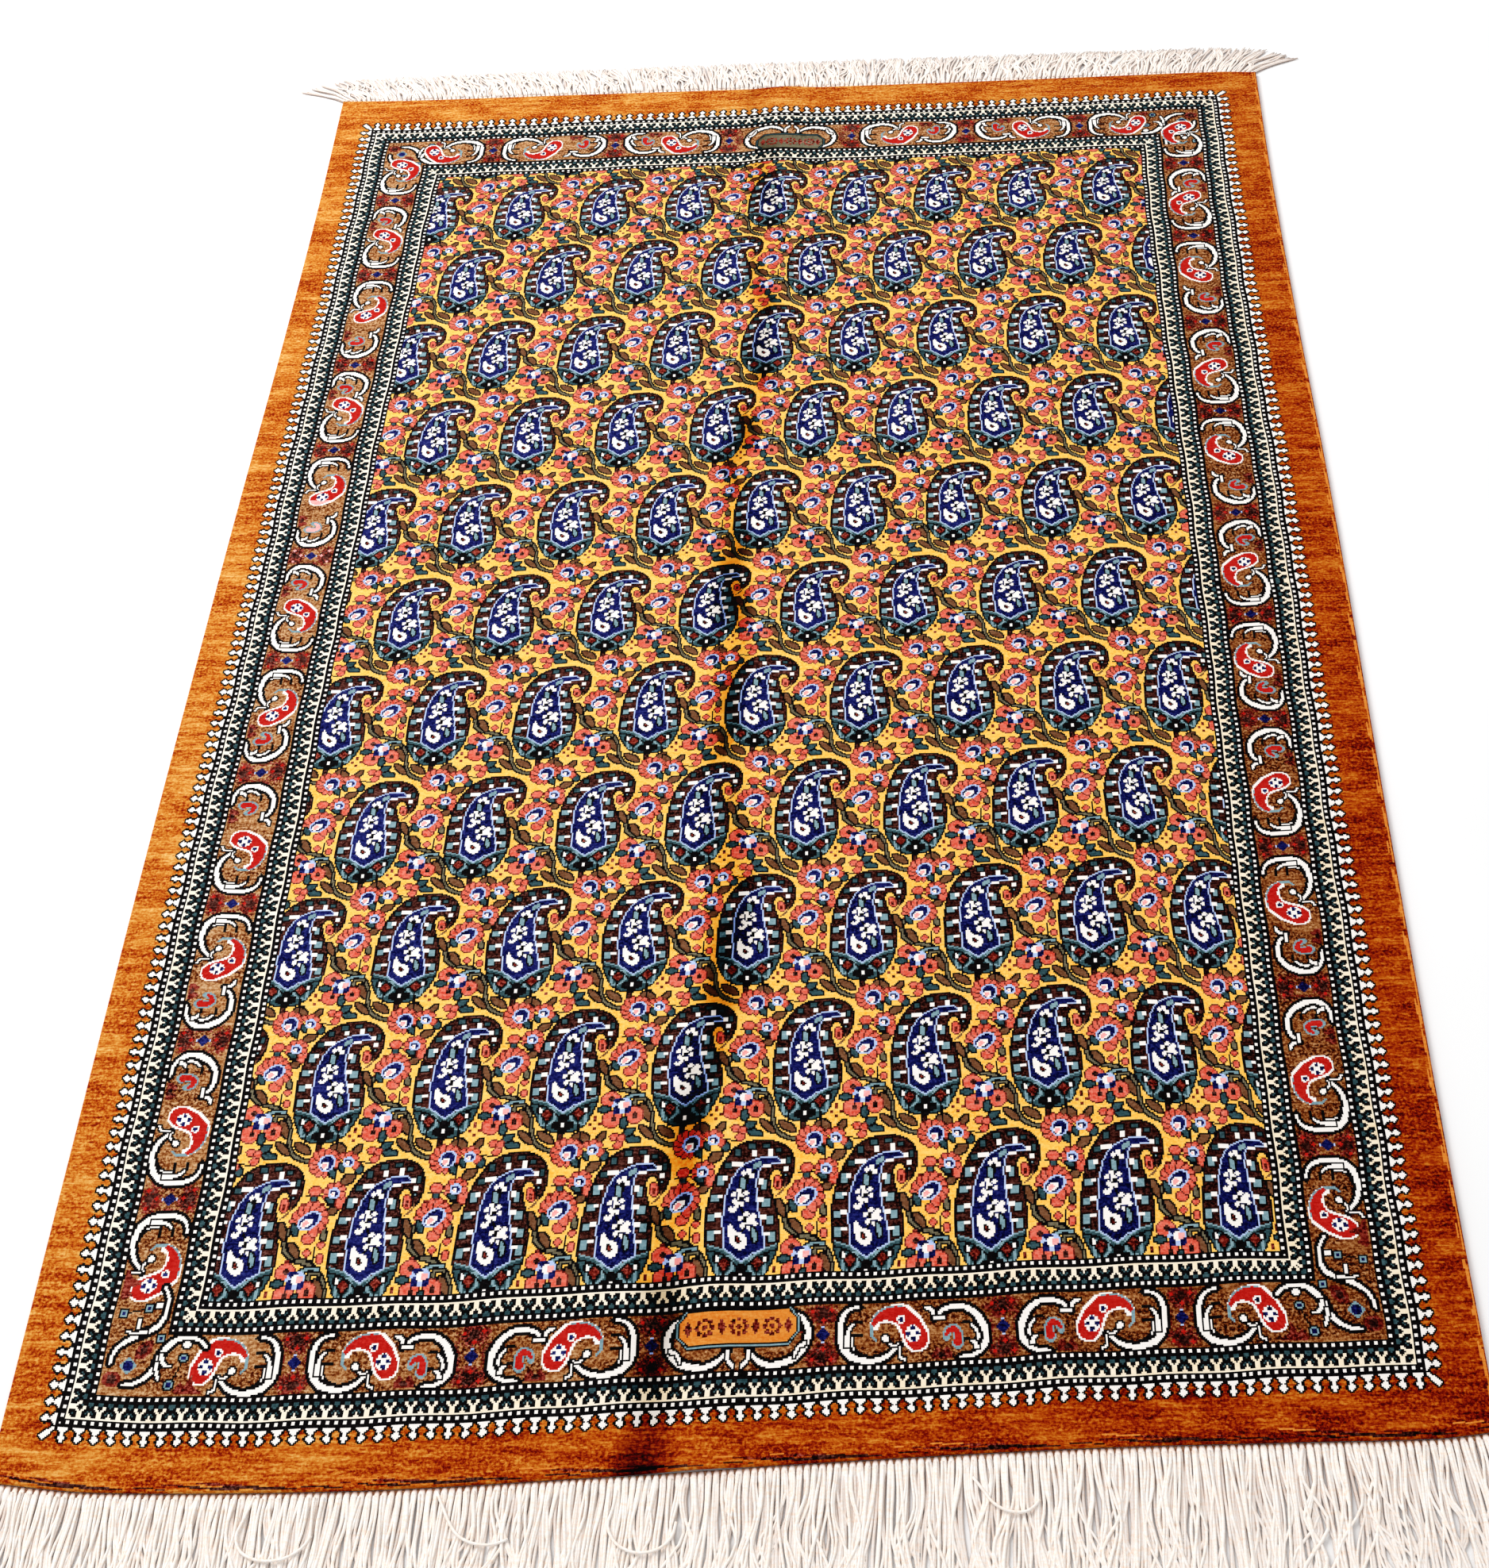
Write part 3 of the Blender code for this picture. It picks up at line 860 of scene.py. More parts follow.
def paint_big_half(art, at):
    """The big red boteh in its scroll, to the right of a divider."""
    claw = ((23, 18.8), (19.5, 18.8), (17, 20))
    leaflet(art, at, ((17.8, 20.6), (17.2, 24), (18.2, 28.4), (21.6, 31.6)), 3.0, claw)
    stroke(art, at, ((24.8, 2.6), (22.6, 1.4), (19.6, 1.6)), 1.8, "black")
    scroll(art, at, ((21.6, 2), (16.8, 3), (13.0, 6.4), (10.9, 11.4), (10.4, 17), (11.2, 23), (13.6, 28.2),
                     (18, 32.2), (25, 34), (32, 33.8), (38.5, 31.2), (43, 27.4), (45.2, 25.6)), 4.2, 1.5)
    claw = ((23, 11.4), (19.6, 11.2), (17, 12.6))
    leaflet(art, at, ((18, 12.6), (15.6, 15.6), (14.4, 20), (14.4, 24.6)), 3.0, claw)
    stroke(art, at, ((44.8, 25.2), (41.4, 25.4), (38.4, 23.4)), 1.6, "white", "black")
    spot(art, at, 37.2, 21.2, "white", 2.1, edge="black")
    stroke(art, at, ((45.4, 27), (45.8, 32.2), (48.4, 34)), 1.7, "white", "black")
    shape(art, at, RED_RING, "white")
    stroke(art, at, ((30.6, 10.5), (29, 15), (29.4, 19.6), (31.4, 22.4)), 3.2, "mist", None, 1.2)
    stroke(art, at, ((29.4, 12.4), (32.6, 6.2), (39, 2.9), (47, 2.5)), 1.4, "mist")
    drop = inside(art, at, smooth(RED_DROP))
    lay(art, drop | rim(drop, corners=False), "crimson")
    spot(art, at, 53.4, 19.2, "white", 4.4, 5)
    for x, y, wide, high in BOTEH_FLOWER:
        spot(art, at, x, y, "navy", wide, high)
    spot(art, at, 46.8, 10.4, "white", 2.5, 2.6)
    spot(art, at, 46.8, 10.4, "navy", 1.4)


def paint_small_half(art, at):
    """The small boteh in its scroll, to the left of a divider."""
    stroke(art, at, ((80.6, 36), (76, 35.4), (73.6, 33)), 1.8, "black")
    claw = ((81.4, 14.4), (84.6, 14), (87, 15.4))
    leaflet(art, at, ((86.4, 15.4), (88.8, 18.4), (90, 22), (89.6, 26)), 3.0, claw)
    scroll(art, at, ((64.6, 10.8), (70, 6.4), (77, 4.2), (84, 5.4), (90, 10.2), (93.8, 17.2), (94.4, 24.4),
                     (91.4, 30.2), (86, 33.8), (79, 34.4)), 4.2, 1.6)
    claw = ((80.6, 24.6), (83.6, 24), (86, 25))
    leaflet(art, at, ((85, 25), (87.4, 26.4), (88.6, 29.2)), 2.4, claw)
    stroke(art, at, ((65, 11.2), (63.6, 6.4), (60, 4.4)), 1.8, "white", "black")
    stroke(art, at, ((64.6, 11.2), (70.4, 11.2)), 2.0, "white", "black")
    ring = ((71, 22.4), (72.4, 18.6), (76, 17.6), (78, 21.2), (77.6, 26.8))
    stroke(art, at, ring, 4.4, "mist", None, 6.6)
    drop = ((71.4, 21), (72.8, 18.8), (76, 18), (77.8, 21.2), (77.6, 26))
    stroke(art, at, drop, 2.2, "crimson", None, 4.6)
    shape(art, at, ((62, 34.6), (65, 28), (68, 31), (71, 27.4), (74, 34.6)), "brick")
    spot(art, at, 67.6, 32.6, "maroon", 2.4, 1.6)


# %% The dividers
def cloud(art, at, x, y, wide, high, silk="brick", middle="maroon"):
    """A soft cloud: knots of two dark silks that thin out at its edge."""
    px, py = turned(art, at, x, y)
    far = (px / wide) ** 2 + (py / high) ** 2
    luck = chance_of_knots(art)
    art[far < 1.25 - 0.9 * luck] = CODE[silk]
    art[far < 0.6 - 0.8 * luck] = CODE[middle]


MID_BORDER = 18
BERRIES = (
    # x, y, silk, radius
    (0, 4.6, "maroon", 2.6), (-5.8, 4.2, "crimson", 1.3), (5.6, 3.6, "crimson", 1.2),
    (0.4, 9.4, "crimson", 1.2),
)


def paint_divider(art, at):
    """The navy diamond that parts two repeats, among its red clouds."""
    for side in (-1, 1):
        cloud(art, at, 0, MID_BORDER - side * 12.0, 11.0, 7.5)
        cloud(art, at, side * 9.5, MID_BORDER, 4, 8, "brick", "brown")
        for x, y, silk, size in BERRIES:
            spot(art, at, x, MID_BORDER + side * (y - MID_BORDER), silk, size)
    rhomb(art, at, 0, MID_BORDER, 4.7, 5.1, "sky")
    rhomb(art, at, 0, MID_BORDER, 4.0, 4.4, "navy")


HALF_PAPERS = []
for paint in (paint_big_half, paint_small_half):
    art = paper(HALF_PAPER, BORDER)
    paint(art, (0, 0))
    HALF_PAPERS.append(art)
print("knots in the big and the small half:", [int((art != BARE).sum()) for art in HALF_PAPERS])

# %% [markdown]
# The two cartouches. In the middle of each end a framed panel interrupts the scrolls. Its field is filled
# with plain rosettes and lozenges here, framed and coloured as the rug has it. The frame is four shapes of
# falling size, one on the other.


# %% The cartouches
PANEL_SCROLL = (
    (30, 2.6), (37, 6.5), (41, 13), (40.4, 21), (35.5, 28.4), (27, 32.4), (17, 33), (9.4, 28.6), (6, 24),
)
PANEL_CLAW = ((39.4, 22), (35.6, 24), (33.4, 29))
PANEL_TICK = ((6, 24.4), (5.4, 30), (2.8, 33.6))
PANEL_MIDDLE = 10.4
NEAR_PANEL = {"ground": "amber", "frame_silk": "mist", "half": 34}
FAR_PANEL = {"ground": "olive", "frame_silk": "slate", "half": 30}


def paint_cartouche(art, at, ground, frame_silk, half):
    """A framed panel between two scrolls, from its silks and its half width."""
    for side in (-1, 1):
        scroll(art, at, [(side * x, y) for x, y in PANEL_SCROLL], 4.4, 1.9)
        stroke(art, at, [(side * x, y) for x, y in PANEL_CLAW], 2.4, "white", "black", 1.4)
        stroke(art, at, [(side * x, y) for x, y in PANEL_TICK], 1.9, "white", "black")
    for grow, silk in ((3.4, "black"), (2.2, frame_silk), (1.2, "black"), (0, ground)):
        panel = (
            (-half - grow, 6.6), (-half + 5, 0.8 - grow), (half - 5, 0.8 - grow), (half + grow, 6.6),
            (half + grow, 14.2), (half - 5, 20 + grow), (-half + 5, 20 + grow), (-half - grow, 14.2),
        )
        shape(art, at, panel, silk, flowing=False)
    for x in (-half * 0.58, 0, half * 0.58):
        for number in range(8):
            angle = math.pi * number / 4
            px, py = x + 4.4 * math.cos(angle), PANEL_MIDDLE + 4.4 * math.sin(angle)
            spot(art, at, px, py, "brick", 1.5)
        spot(art, at, x, PANEL_MIDDLE, "brick", 1.6)
    for x in (-half * 0.86, -half * 0.29, half * 0.29, half * 0.86):
        rhomb(art, at, x, PANEL_MIDDLE, 2.6, 5.4, "brick")


print("panel widths in knots:", 2 * NEAR_PANEL["half"], 2 * FAR_PANEL["half"])

# %% [markdown]
# The corners. Two white vines grow out of the corner botehs and bend towards the corner, round a navy
# block, between dark red lozenges and small ringed dots on thin stems. One corner is painted and turned
# over for the other three. It is measured from the band's outer corner: across, and up from the bottom.

# %% The corners
CORNER = 76
DOTS_IN_CORNER = ((6, 49), (21, 52), (32, 34), (47.5, 22), (41.5, 6.5))


def paint_corner(art):
    """The near left corner of the scroll border."""
    at = (0, 0)

    def up(points):
        return [(x, CORNER - y) for x, y in points]

    leaf(art, at, 23, CORNER - 27.4, 15, 9, -52, "brick", None)
    leaf(art, at, 23, CORNER - 27.4, 8, 4, -52, "maroon", None)
    spot(art, at, 6.6, CORNER - 9.6, "brick", 5.8, 4.8)
    spot(art, at, 6.6, CORNER - 9.6, "maroon", 3.0)
    shape(art, at, up(((46, 1.5), (48, 8), (51, 5.5), (54, 12), (57, 5.5), (62, 1.5))), "brick")
    shape(art, at, up(((1.5, 58), (8, 60), (5.5, 64), (12, 67), (5.5, 71), (1.5, 75))), "brick")
    for stem in (((6, 49), (21, 52)), ((47.5, 22), (44.6, 13), (41.5, 6.5))):
        stroke(art, at, up(stem), 1.1, "black")
    scroll(art, at, up(((28, 64), (31.4, 58), (32.2, 50), (30, 43), (25, 39), (18, 36.2), (12, 33), (7, 29),
                        (4.4, 23.5), (3.6, 18.6))), 3.4, 1.6)
    stroke(art, at, up(((20, 37), (17, 41), (17, 45.5))), 2.4, "white", "black", 1.4)
    stroke(art, at, up(((22, 38), (15, 37.6), (10.6, 38.4))), 1.8, "white", "black", 1.2)
    spot(art, at, 27, CORNER - 53.6, "white", 1.9, edge="black")
    scroll(art, at, up(((60, 29), (55, 33), (48, 34), (42, 33), (37, 29), (33, 23), (31, 17), (27, 11.4),
                        (21, 7.6), (13.6, 6.4))), 3.6, 1.6)
    stroke(art, at, up(((33.6, 24), (36.6, 18), (40.6, 17.6))), 2.4, "white", "black", 1.6)
    stroke(art, at, up(((31.6, 19), (33, 13.6), (34.4, 10))), 2.2, "white", "black", 1.3)
    spot(art, at, 48.6, CORNER - 30, "white", 2.2, edge="black")
    rhomb(art, at, 15, CORNER - 18, 5.6, 5.6, "mist")
    spot(art, at, 15, CORNER - 18, "navy", 3.1)
    for x, y in DOTS_IN_CORNER:
        spot(art, at, x, CORNER - y, "mist", 2.4, edge="black")
        spot(art, at, x, CORNER - y, "navy", 1.5)


corner_paper = paper(CORNER, CORNER)
paint_corner(corner_paper)
print("knots in a corner:", int((corner_paper != BARE).sum()))

# %% [markdown]
# The edges of the plain margin. At the near edge, where the pile folds over its end, shade and light are
# painted into the knots: dark streaks of painted shade in the last rows and lighter amber streaks of
# painted highlight a few rows in. The right edge has a light rim. Both are knots of other silks, strewn
# by two waves of different lengths, which look irregular and still come out the same each time.

# %% The edges of the plain margin
# Painted shade and highlight where the pile folds over the near end
NEAR_CREASE_LIGHT_AND_SHADE = (
    # rows from the near edge, silk, and how much of the row it takes
    (8, "amber", 0.1), (7, "amber", 0.2), (6, "brick", 0.2), (5, "brick", 0.4), (4, "maroon", 0.4),
    (3, "maroon", 0.6), (2, "maroon", 0.5), (1, "brick", 0.6),
)
RIGHT_RIM = (
    # columns from the right edge, and how much of the column is amber
    (4, 0.3), (3, 0.5), (2, 0.75), (1, 0.9),
)


def paint_edge_light_shade_and_rim():
    """Painted shade and highlight streaks along the near edge, where the pile folds over its end, and a
    light rim on the right.
    """
    xs, ys = np.arange(WIDE), np.arange(LONG)
    for row, silk, share in NEAR_CREASE_LIGHT_AND_SHADE:
        wave = 0.5 + 0.25 * np.sin(xs / 17 + 0.6 * row) + 0.25 * np.sin(xs / 5.3 + 1.9 * row)
        chart[LONG - row, wave < share] = CODE[silk]
    for column, share in RIGHT_RIM:
        wave = 0.5 + 0.25 * np.sin(ys / 9 + 2.3 * column) + 0.25 * np.sin(ys / 4.1 + 0.7 * column)
        chart[wave < share, WIDE - column] = CODE["amber"]


print("rows with streaks:", len(NEAR_CREASE_LIGHT_AND_SHADE), "columns with a rim:", len(RIGHT_RIM))

# %% [markdown]
# Laying the border round the rug. Each side is made as one long strip and then turned to its place. The
# weaver spaced the repeats unevenly to make them come out, so the dividers' places are written down. The
# corners go on last; at the far end their scrolls stop behind the red drops beside them.

# %% The four sides of the border
SIDES = {
    # where the dividers stand, measured from the side's first corner, and the cartouche, if any
    "near": ((135, 240, 344, 444, 551, 657), NEAR_PANEL),
    "far": ((119, 231, 336, 452, 559, 665), FAR_PANEL),
    "left": ((139, 249, 357, 470, 575, 684, 802, 905, 1021, 1126), None),
    "right": ((145, 260, 371, 483, 585, 691, 807, 916, 1030, 1133), None),
}
FADED_SCROLLS = slice(672, 745)
print("dividers:", {side: len(places) for side, (places, _) in SIDES.items()})


def side_strip(length, dividers, panel):
    """One side of the border, its inner edge on top, with a panel in its middle or None."""
    big, small = HALF_PAPERS
    strip = paper(length, BORDER)
    strip[:] = CODE["ochre"]
    middle = len(dividers) // 2
    for number, place in enumerate(dividers):
        paint_divider(strip, (place, 0))
        at_panel = panel and number in (middle - 1, middle)
        big_here = number % 2 == 0 if number < middle or not panel else number % 2 == 1
        for turn in (False, True):
            if at_panel and turn == (number == middle):
                continue
            last = not panel and number == len(dividers) - 1
            wants_big = big_here or (last and not turn)
            if wants_big:
                art = big[:, ::-1] if turn else big
                stamp(strip, art, place - HALF_PAPER if turn else place, 0)
            else:
                art = small if turn else small[:, ::-1]
                left = place - REPEAT if turn else place - (HALF_PAPER - REPEAT)
                stamp(strip, art, left, 0)
    if panel:
        paint_cartouche(strip, ((dividers[middle - 1] + dividers[middle]) / 2, 0), **panel)
    return strip


# %% Where the corners meet the sides
# the rows from the guard's far edge at which the left and right sides start
LEFT_START, RIGHT_START = 44, 36
FAR_ARM = 52


def behind_drops(art, shown, start, turned_x):
    """A far corner's scrolls, which stop short behind the red drops that stand close to them."""
    ys, xs = np.mgrid[0:CORNER, 0:CORNER]
    if turned_x:
        xs = CORNER - 1 - xs
    arm = (xs >= BORDER) | (ys >= start - GUARD)
    hidden = arm & ((shown != CODE["ochre"]) | (np.maximum(xs, ys) > FAR_ARM))
    return np.where(hidden, BARE, art)


print("a far corner reaches", FAR_ARM, "knots along its sides")


# %% Laying the border round the rug
def lay_border():
    """The four sides and the four corners on the chart."""
    left, top = LEFT_MARGIN, FAR_MARGIN
    right, low = left + GUARD_WIDE, top + GUARD_LONG
    inner = GUARD + BORDER
    near_strip = side_strip(GUARD_WIDE, *SIDES["near"])
    far_strip = side_strip(GUARD_WIDE, *SIDES["far"])
    left_strip = side_strip(GUARD_LONG, *SIDES["left"])
    faded = left_strip[:, FADED_SCROLLS]
    faded[faded == CODE["crimson"]] = CODE["rose"]
    right_strip = side_strip(GUARD_LONG, *SIDES["right"])
    cut = slice(GUARD, -GUARD)
    chart[top + GUARD : top + inner, left + GUARD : right - GUARD] = far_strip[::-1, cut]
    chart[low - inner : low - GUARD, left + GUARD : right - GUARD] = near_strip[:, cut]
    left_columns, right_columns = slice(left + GUARD, left + inner), slice(right - inner, right - GUARD)
    chart[top + LEFT_START : low - inner, left_columns] = left_strip.T[::-1, ::-1][LEFT_START:-inner]
    chart[top + RIGHT_START : low - inner, right_columns] = right_strip.T[::-1][RIGHT_START:-inner]
    for turned_x in (False, True):
        for turned_y in (False, True):
            art = corner_paper[::-1] if turned_y else corner_paper
            art = art[:, ::-1] if turned_x else art
            at_x = right - GUARD - CORNER if turned_x else left + GUARD
            at_y = top + GUARD if turned_y else low - GUARD - CORNER
            if turned_y:
                shown = chart[at_y : at_y + CORNER, at_x : at_x + CORNER]
                art = behind_drops(art, shown, RIGHT_START if turned_x else LEFT_START, turned_x)
            stamp(chart, art, at_x, at_y)


# %% Painting the chart
lay_border()
paint_teeth()
paint_edge_light_shade_and_rim()
paint_guard(0, True)
paint_guard(GUARD + BORDER, False)
inner = slice(FAR_MARGIN + FIELD_EDGE, FAR_MARGIN + GUARD_LONG - FIELD_EDGE)
chart[inner, LEFT_MARGIN + FIELD_EDGE : LEFT_MARGIN + GUARD_WIDE - FIELD_EDGE] = field
print("knots of each silk:", {name: int((chart == CODE[name]).sum()) for name in NAMES})

# %% [markdown]
# From squared paper to the rug. A knotted pattern is never quite straight: the guards run a few knots in
# and out, and the rows of paisleys lie a little high or low. Two tables say, in tenths of a knot, how far
# the pattern has moved across and along, at nine places across and twelve along, and they fade out over
# the plain margins. Their numbers weren't set by hand: helper programs measured them, by matching a
# render with the photograph, and printed the sums. A small waver on top is the hand of the weaver.

# %% Knots on the plan
DRIFT_ACROSS_AT = (0, 0.083, 0.19, 0.345, 0.5, 0.655, 0.81, 0.917, 1)
DRIFT_ALONG_AT = (0, 0.045, 0.13, 0.235, 0.34, 0.45, 0.56, 0.67, 0.77, 0.87, 0.955, 1)
ACROSS_DRIFT = (
    (3, 0, 27, 53, 61, 31, 24, 5, 11),
    (-2, -5, 24, 51, 61, 32, 27, 9, 16),
    (-12, -33, -14, 24, 29, 5, -11, 2, 16),
    (-19, -38, -33, 6, 22, -2, -6, 7, 12),
    (-25, -51, -46, -2, 25, 15, 9, 12, 18),
    (-12, -32, -24, 15, 35, 29, 28, 21, 21),
    (-8, -41, -21, 23, 39, 43, 64, 32, 17),
    (-23, -18, -5, 27, 50, 49, 95, 39, 17),
    (-15, -13, -4, 35, 64, 70, 109, 46, 27),
    (-13, -5, 20, 39, 75, 85, 117, 51, 33),
    (-9, -5, -4, 25, 64, 64, 67, 47, 44),
    (-12, -8, -2, 24, 53, 61, 62, 47, 45),
)
ALONG_DRIFT = (
    (23, 31, 16, -7, -22, -22, -38, -50, -53),
    (19, 15, 7, -12, -30, -34, -54, -63, -56),
    (-2, -10, -21, -57, -60, -70, -90, -53, -41),
    (15, 6, -15, -42, -63, -83, -85, -37, -28),
    (16, 3, -29, -37, -60, -76, -54, -21, -14),
    (11, 1, -17, -19, -27, -44, -46, -25, -18),
    (-15, -26, -46, -57, -61, -78, -84, -16, -13),
    (0, -14, -35, -56, -70, -72, -92, -23, -22),
    (-20, -32, -41, -60, -46, -46, -74, 1, -1),
    (-15, -25, -34, -45, -37, -21, -47, 8, 6),
    (51, 38, 29, 24, 28, 36, 21, 3, 1),
    (46, 58, 46, 41, 53, 59, 43, 30, 18),
)
WAVER = 0.4
CUT_EDGE = 1.0


def drift(table, u, v):
    """A table's value in knots at shares u across and v along, even between its places."""
    rows = np.stack([np.interp(u, DRIFT_ACROSS_AT, np.array(row) / 10) for row in table])
    place = np.interp(v, DRIFT_ALONG_AT, np.arange(len(table)))
    low = np.minimum(place.astype(int), len(table) - 2)
    above, below = (np.take_along_axis(rows, low[None] + step, axis=0)[0] for step in (0, 1))
    return above + (below - above) * (place - low)


def knot_shares(x, y):
    """The shares across and along of places given in knots."""
    x = np.clip(x, CUT_EDGE, WIDE - CUT_EDGE)
    y = np.clip(y, CUT_EDGE, LONG - CUT_EDGE)
    u = np.clip((x - LEFT_MARGIN) / GUARD_WIDE, 0, 1)
    v = np.clip((y - FAR_MARGIN) / GUARD_LONG, 0, 1)
    side_fade = np.minimum(1, np.minimum(x / LEFT_MARGIN, (WIDE - x) / (WIDE - LEFT_MARGIN - GUARD_WIDE)))
    end_fade = np.minimum(1, np.minimum(y / FAR_MARGIN, (LONG - y) / (LONG - FAR_MARGIN - GUARD_LONG)))
    waver_x = WAVER * (np.sin(y / 9 + 1.7 * np.sin(x / 61)) + 0.7 * np.sin(y / 23 + x / 37))
    waver_y = WAVER * (np.sin(x / 10 + 1.7 * np.sin(y / 57)) + 0.7 * np.sin(x / 21 - y / 41))
    drift_x = drift(ACROSS_DRIFT, u, v) + waver_x
    drift_y = drift(ALONG_DRIFT, u, v) + waver_y
    across = -1 + 2 * (x + drift_x * side_fade) / WIDE
    along = 1 - 2 * (y + drift_y * end_fade) / LONG
    return across, along


def pile_top(x, y):
    """The top of the pile over places given in knots, in metres."""
    across, along = knot_shares(np.asarray(x, float), np.asarray(y, float))
    place_x, place_y = plan_point(across, along)
    return np.stack([place_x, place_y, ridge_height(across, along) + THICKNESS], axis=-1)


print("middle of the pile:", pile_top(WIDE / 2, LONG / 2).round(4))

# %% [markdown]
# The look of the pile. Silk pile has a nap: seen along its lean it is bright and golden, seen against
# it deep and reddish. Here that sheen and shade are painted into the colour as a slope across the rug:
# lighter and golden towards the left and the far end, darker and redder towards the right and the near
# end. Raising a colour to a power does just that, as light that bounces more often in the pile loses more
# of its weaker parts. One group works out that power from the painted nap sheen and shade, the dye's own
# unevenness, fine streaks along the wefts and the painted shade of the old fold, and every silk uses it.

# %% Painted nap sheen and shade, dye and painted fold shade, shared by all silks
CLOUD_LIMITS = (0.36, 0.64)


def clouded(tree, place, scale, detail, rough, reach):
    """Soft unevenness from minus to plus a reach, stretched by three scales."""
    noise = speckle(tree, stretched(tree, place, scale), 1.0, detail, rough)
    return limits(tree, noise, *CLOUD_LIMITS, -reach, reach)


group, given, results = new_group(
    "sheen_shade_and_dye",
    (
        ("Silk", "NodeSocketColor", (0.5, 0.5, 0.5, 1.0)),
        ("Sheen and clouds", "NodeSocketFloat", 0.5),
        ("Streaks", "NodeSocketFloat", 0.5),
        ("Mottling", "NodeSocketFloat", 0.5),
        ("Fold shade", "NodeSocketFloat", 1.0),
    ),
    (("Colour", "NodeSocketColor"), ("Depth", "NodeSocketFloat")),
)
place = add_node(group, "TexCoord").outputs["Object"]
parts = add_node(group, "SeparateXYZ", {0: place}).outputs
# Painted sheen and shade of the nap: a slope that lightens the left and far side and darkens the right and
# near side
slope = maths(group, "MULTIPLY_ADD", parts["Y"], -0.45, parts["X"])
sheen_and_clouds = limits(group, slope, -0.5, 0.75, -0.75, 1.0)
wide = clouded(group, place, (14.0, 26.0, 1.0), 4.0, 0.6, 0.6)
flat = clouded(group, place, (26.0, 95.0, 1.0), 4.0, 0.7, 0.7)
clouds = maths(group, "ADD", wide, flat)
# The clouds of uneven dye are added to the painted sheen and shade, and one input scales both
sheen_and_clouds = maths(group, "MULTIPLY", maths(group, "MULTIPLY_ADD", clouds, 0.8, sheen_and_clouds), given["Sheen and clouds"])
thin = clouded(group, place, (170.0, 620.0, 1.0), 4.0, 0.62, 0.7)
long = clouded(group, place, (22.0, 240.0, 1.0), 3.0, 0.6, 0.5)
wefts = maths(group, "MULTIPLY", maths(group, "ADD", thin, long), given["Streaks"])
fine = limits(group, speckle(group, place, 460.0, 3.0, 0.6), *CLOUD_LIMITS, -1.0, 1.0)
mottle = maths(group, "MULTIPLY", fine, given["Mottling"])
mottle = maths(group, "MULTIPLY", mottle, limits(group, clouds, -1.0, 1.0, 0.6, 1.5))
power = maths(group, "ADD", maths(group, "ADD", sheen_and_clouds, wefts), mottle)
print("nodes so far:", len(group.nodes))

# %% [markdown]
# The painted shade of the old fold. Along the crest the colour is painted darker and deeper, in uneven
# patches, as shade of the fold. A straight line would look drawn, so the crease has a course of its own: a
# float curve gives how far across it lies at each place along the rug. The painted shade is deepest at the
# near end.

# %% The shade of the old fold
FOLD_COURSE = (
    # along, across, in metres from the rug's middle
    (-0.76, -0.068), (-0.65, -0.065), (-0.58, -0.062), (-0.52, -0.057), (-0.48, -0.051), (-0.41, -0.040),
    (-0.33, -0.028), (-0.25, -0.030), (-0.15, -0.035), (0.06, -0.037), (0.18, -0.039), (0.25, -0.031),
    (0.38, -0.022), (0.70, -0.031),
)
FOLD_SPAN, FOLD_REACH, FOLD_LEVEL = 1.6, 0.1, 0.75
FOLD_POWER, FOLD_SHADE = 1.05, -0.28
# Painted shade along the fold: darker, deeper colour near the crease's course, in uneven patches
share_along = maths(group, "MULTIPLY_ADD", parts["Y"], 1 / FOLD_SPAN, 0.5)
course = add_node(group, "FloatCurve", {"Value": share_along})
curve = course.mapping.curves[0]
for number, (along, across) in enumerate(FOLD_COURSE):
    at = (along / FOLD_SPAN + 0.5, across / FOLD_REACH + FOLD_LEVEL)
    if number < 2:
        curve.points[number].location = at
    else:
        curve.points.new(*at)
course.mapping.update()
crest = maths(group, "MULTIPLY_ADD", course.outputs["Value"], FOLD_REACH, -FOLD_LEVEL * FOLD_REACH)
beside = maths(group, "ABSOLUTE", maths(group, "SUBTRACT", parts["X"], crest))
uneven = speckle(group, stretched(group, place, (20.0, 11.0, 1.0)), 1.0, 2.0)
uneven = limits(group, uneven, 0.4, 0.6, 0.4, 1.3)
fold_shade = maths(group, "MULTIPLY", limits(group, beside, 0.025, 0.002), uneven)
far_fade = maths(group, "MULTIPLY", given["Fold shade"], limits(group, parts["Y"], 0.1, 0.6, 1.0, 0.5))
fold_shade = maths(group, "MULTIPLY", fold_shade, far_fade)
fold_shade = maths(group, "MULTIPLY", fold_shade, limits(group, parts["Y"], -0.69, -0.62, 1.9, 1.0))
power = maths(group, "MULTIPLY_ADD", fold_shade, FOLD_POWER, power)
gamma = maths(group, "POWER", 2.0, power)
colour = add_node(group, "Gamma", {"Color": given["Silk"], "Gamma": gamma}).outputs["Color"]
shade = maths(group, "MULTIPLY_ADD", fold_shade, FOLD_SHADE, 1.0)
dark = add_node(group, "HueSaturation", {"Color": colour, "Value": shade}).outputs["Color"]
group.links.new(dark, results["Colour"])
group.links.new(power, results["Depth"])
print("group:", group.name, "nodes:", len(group.nodes))

# %% [markdown]
# Each knot is a small tuft, and the tufts are cut level by shears. A second group gives their relief: a
# cell for each knot, a little uneven, with the fuzz of the cut ends on it. It feeds a bump, because a
# tuft is only a millimetre across.

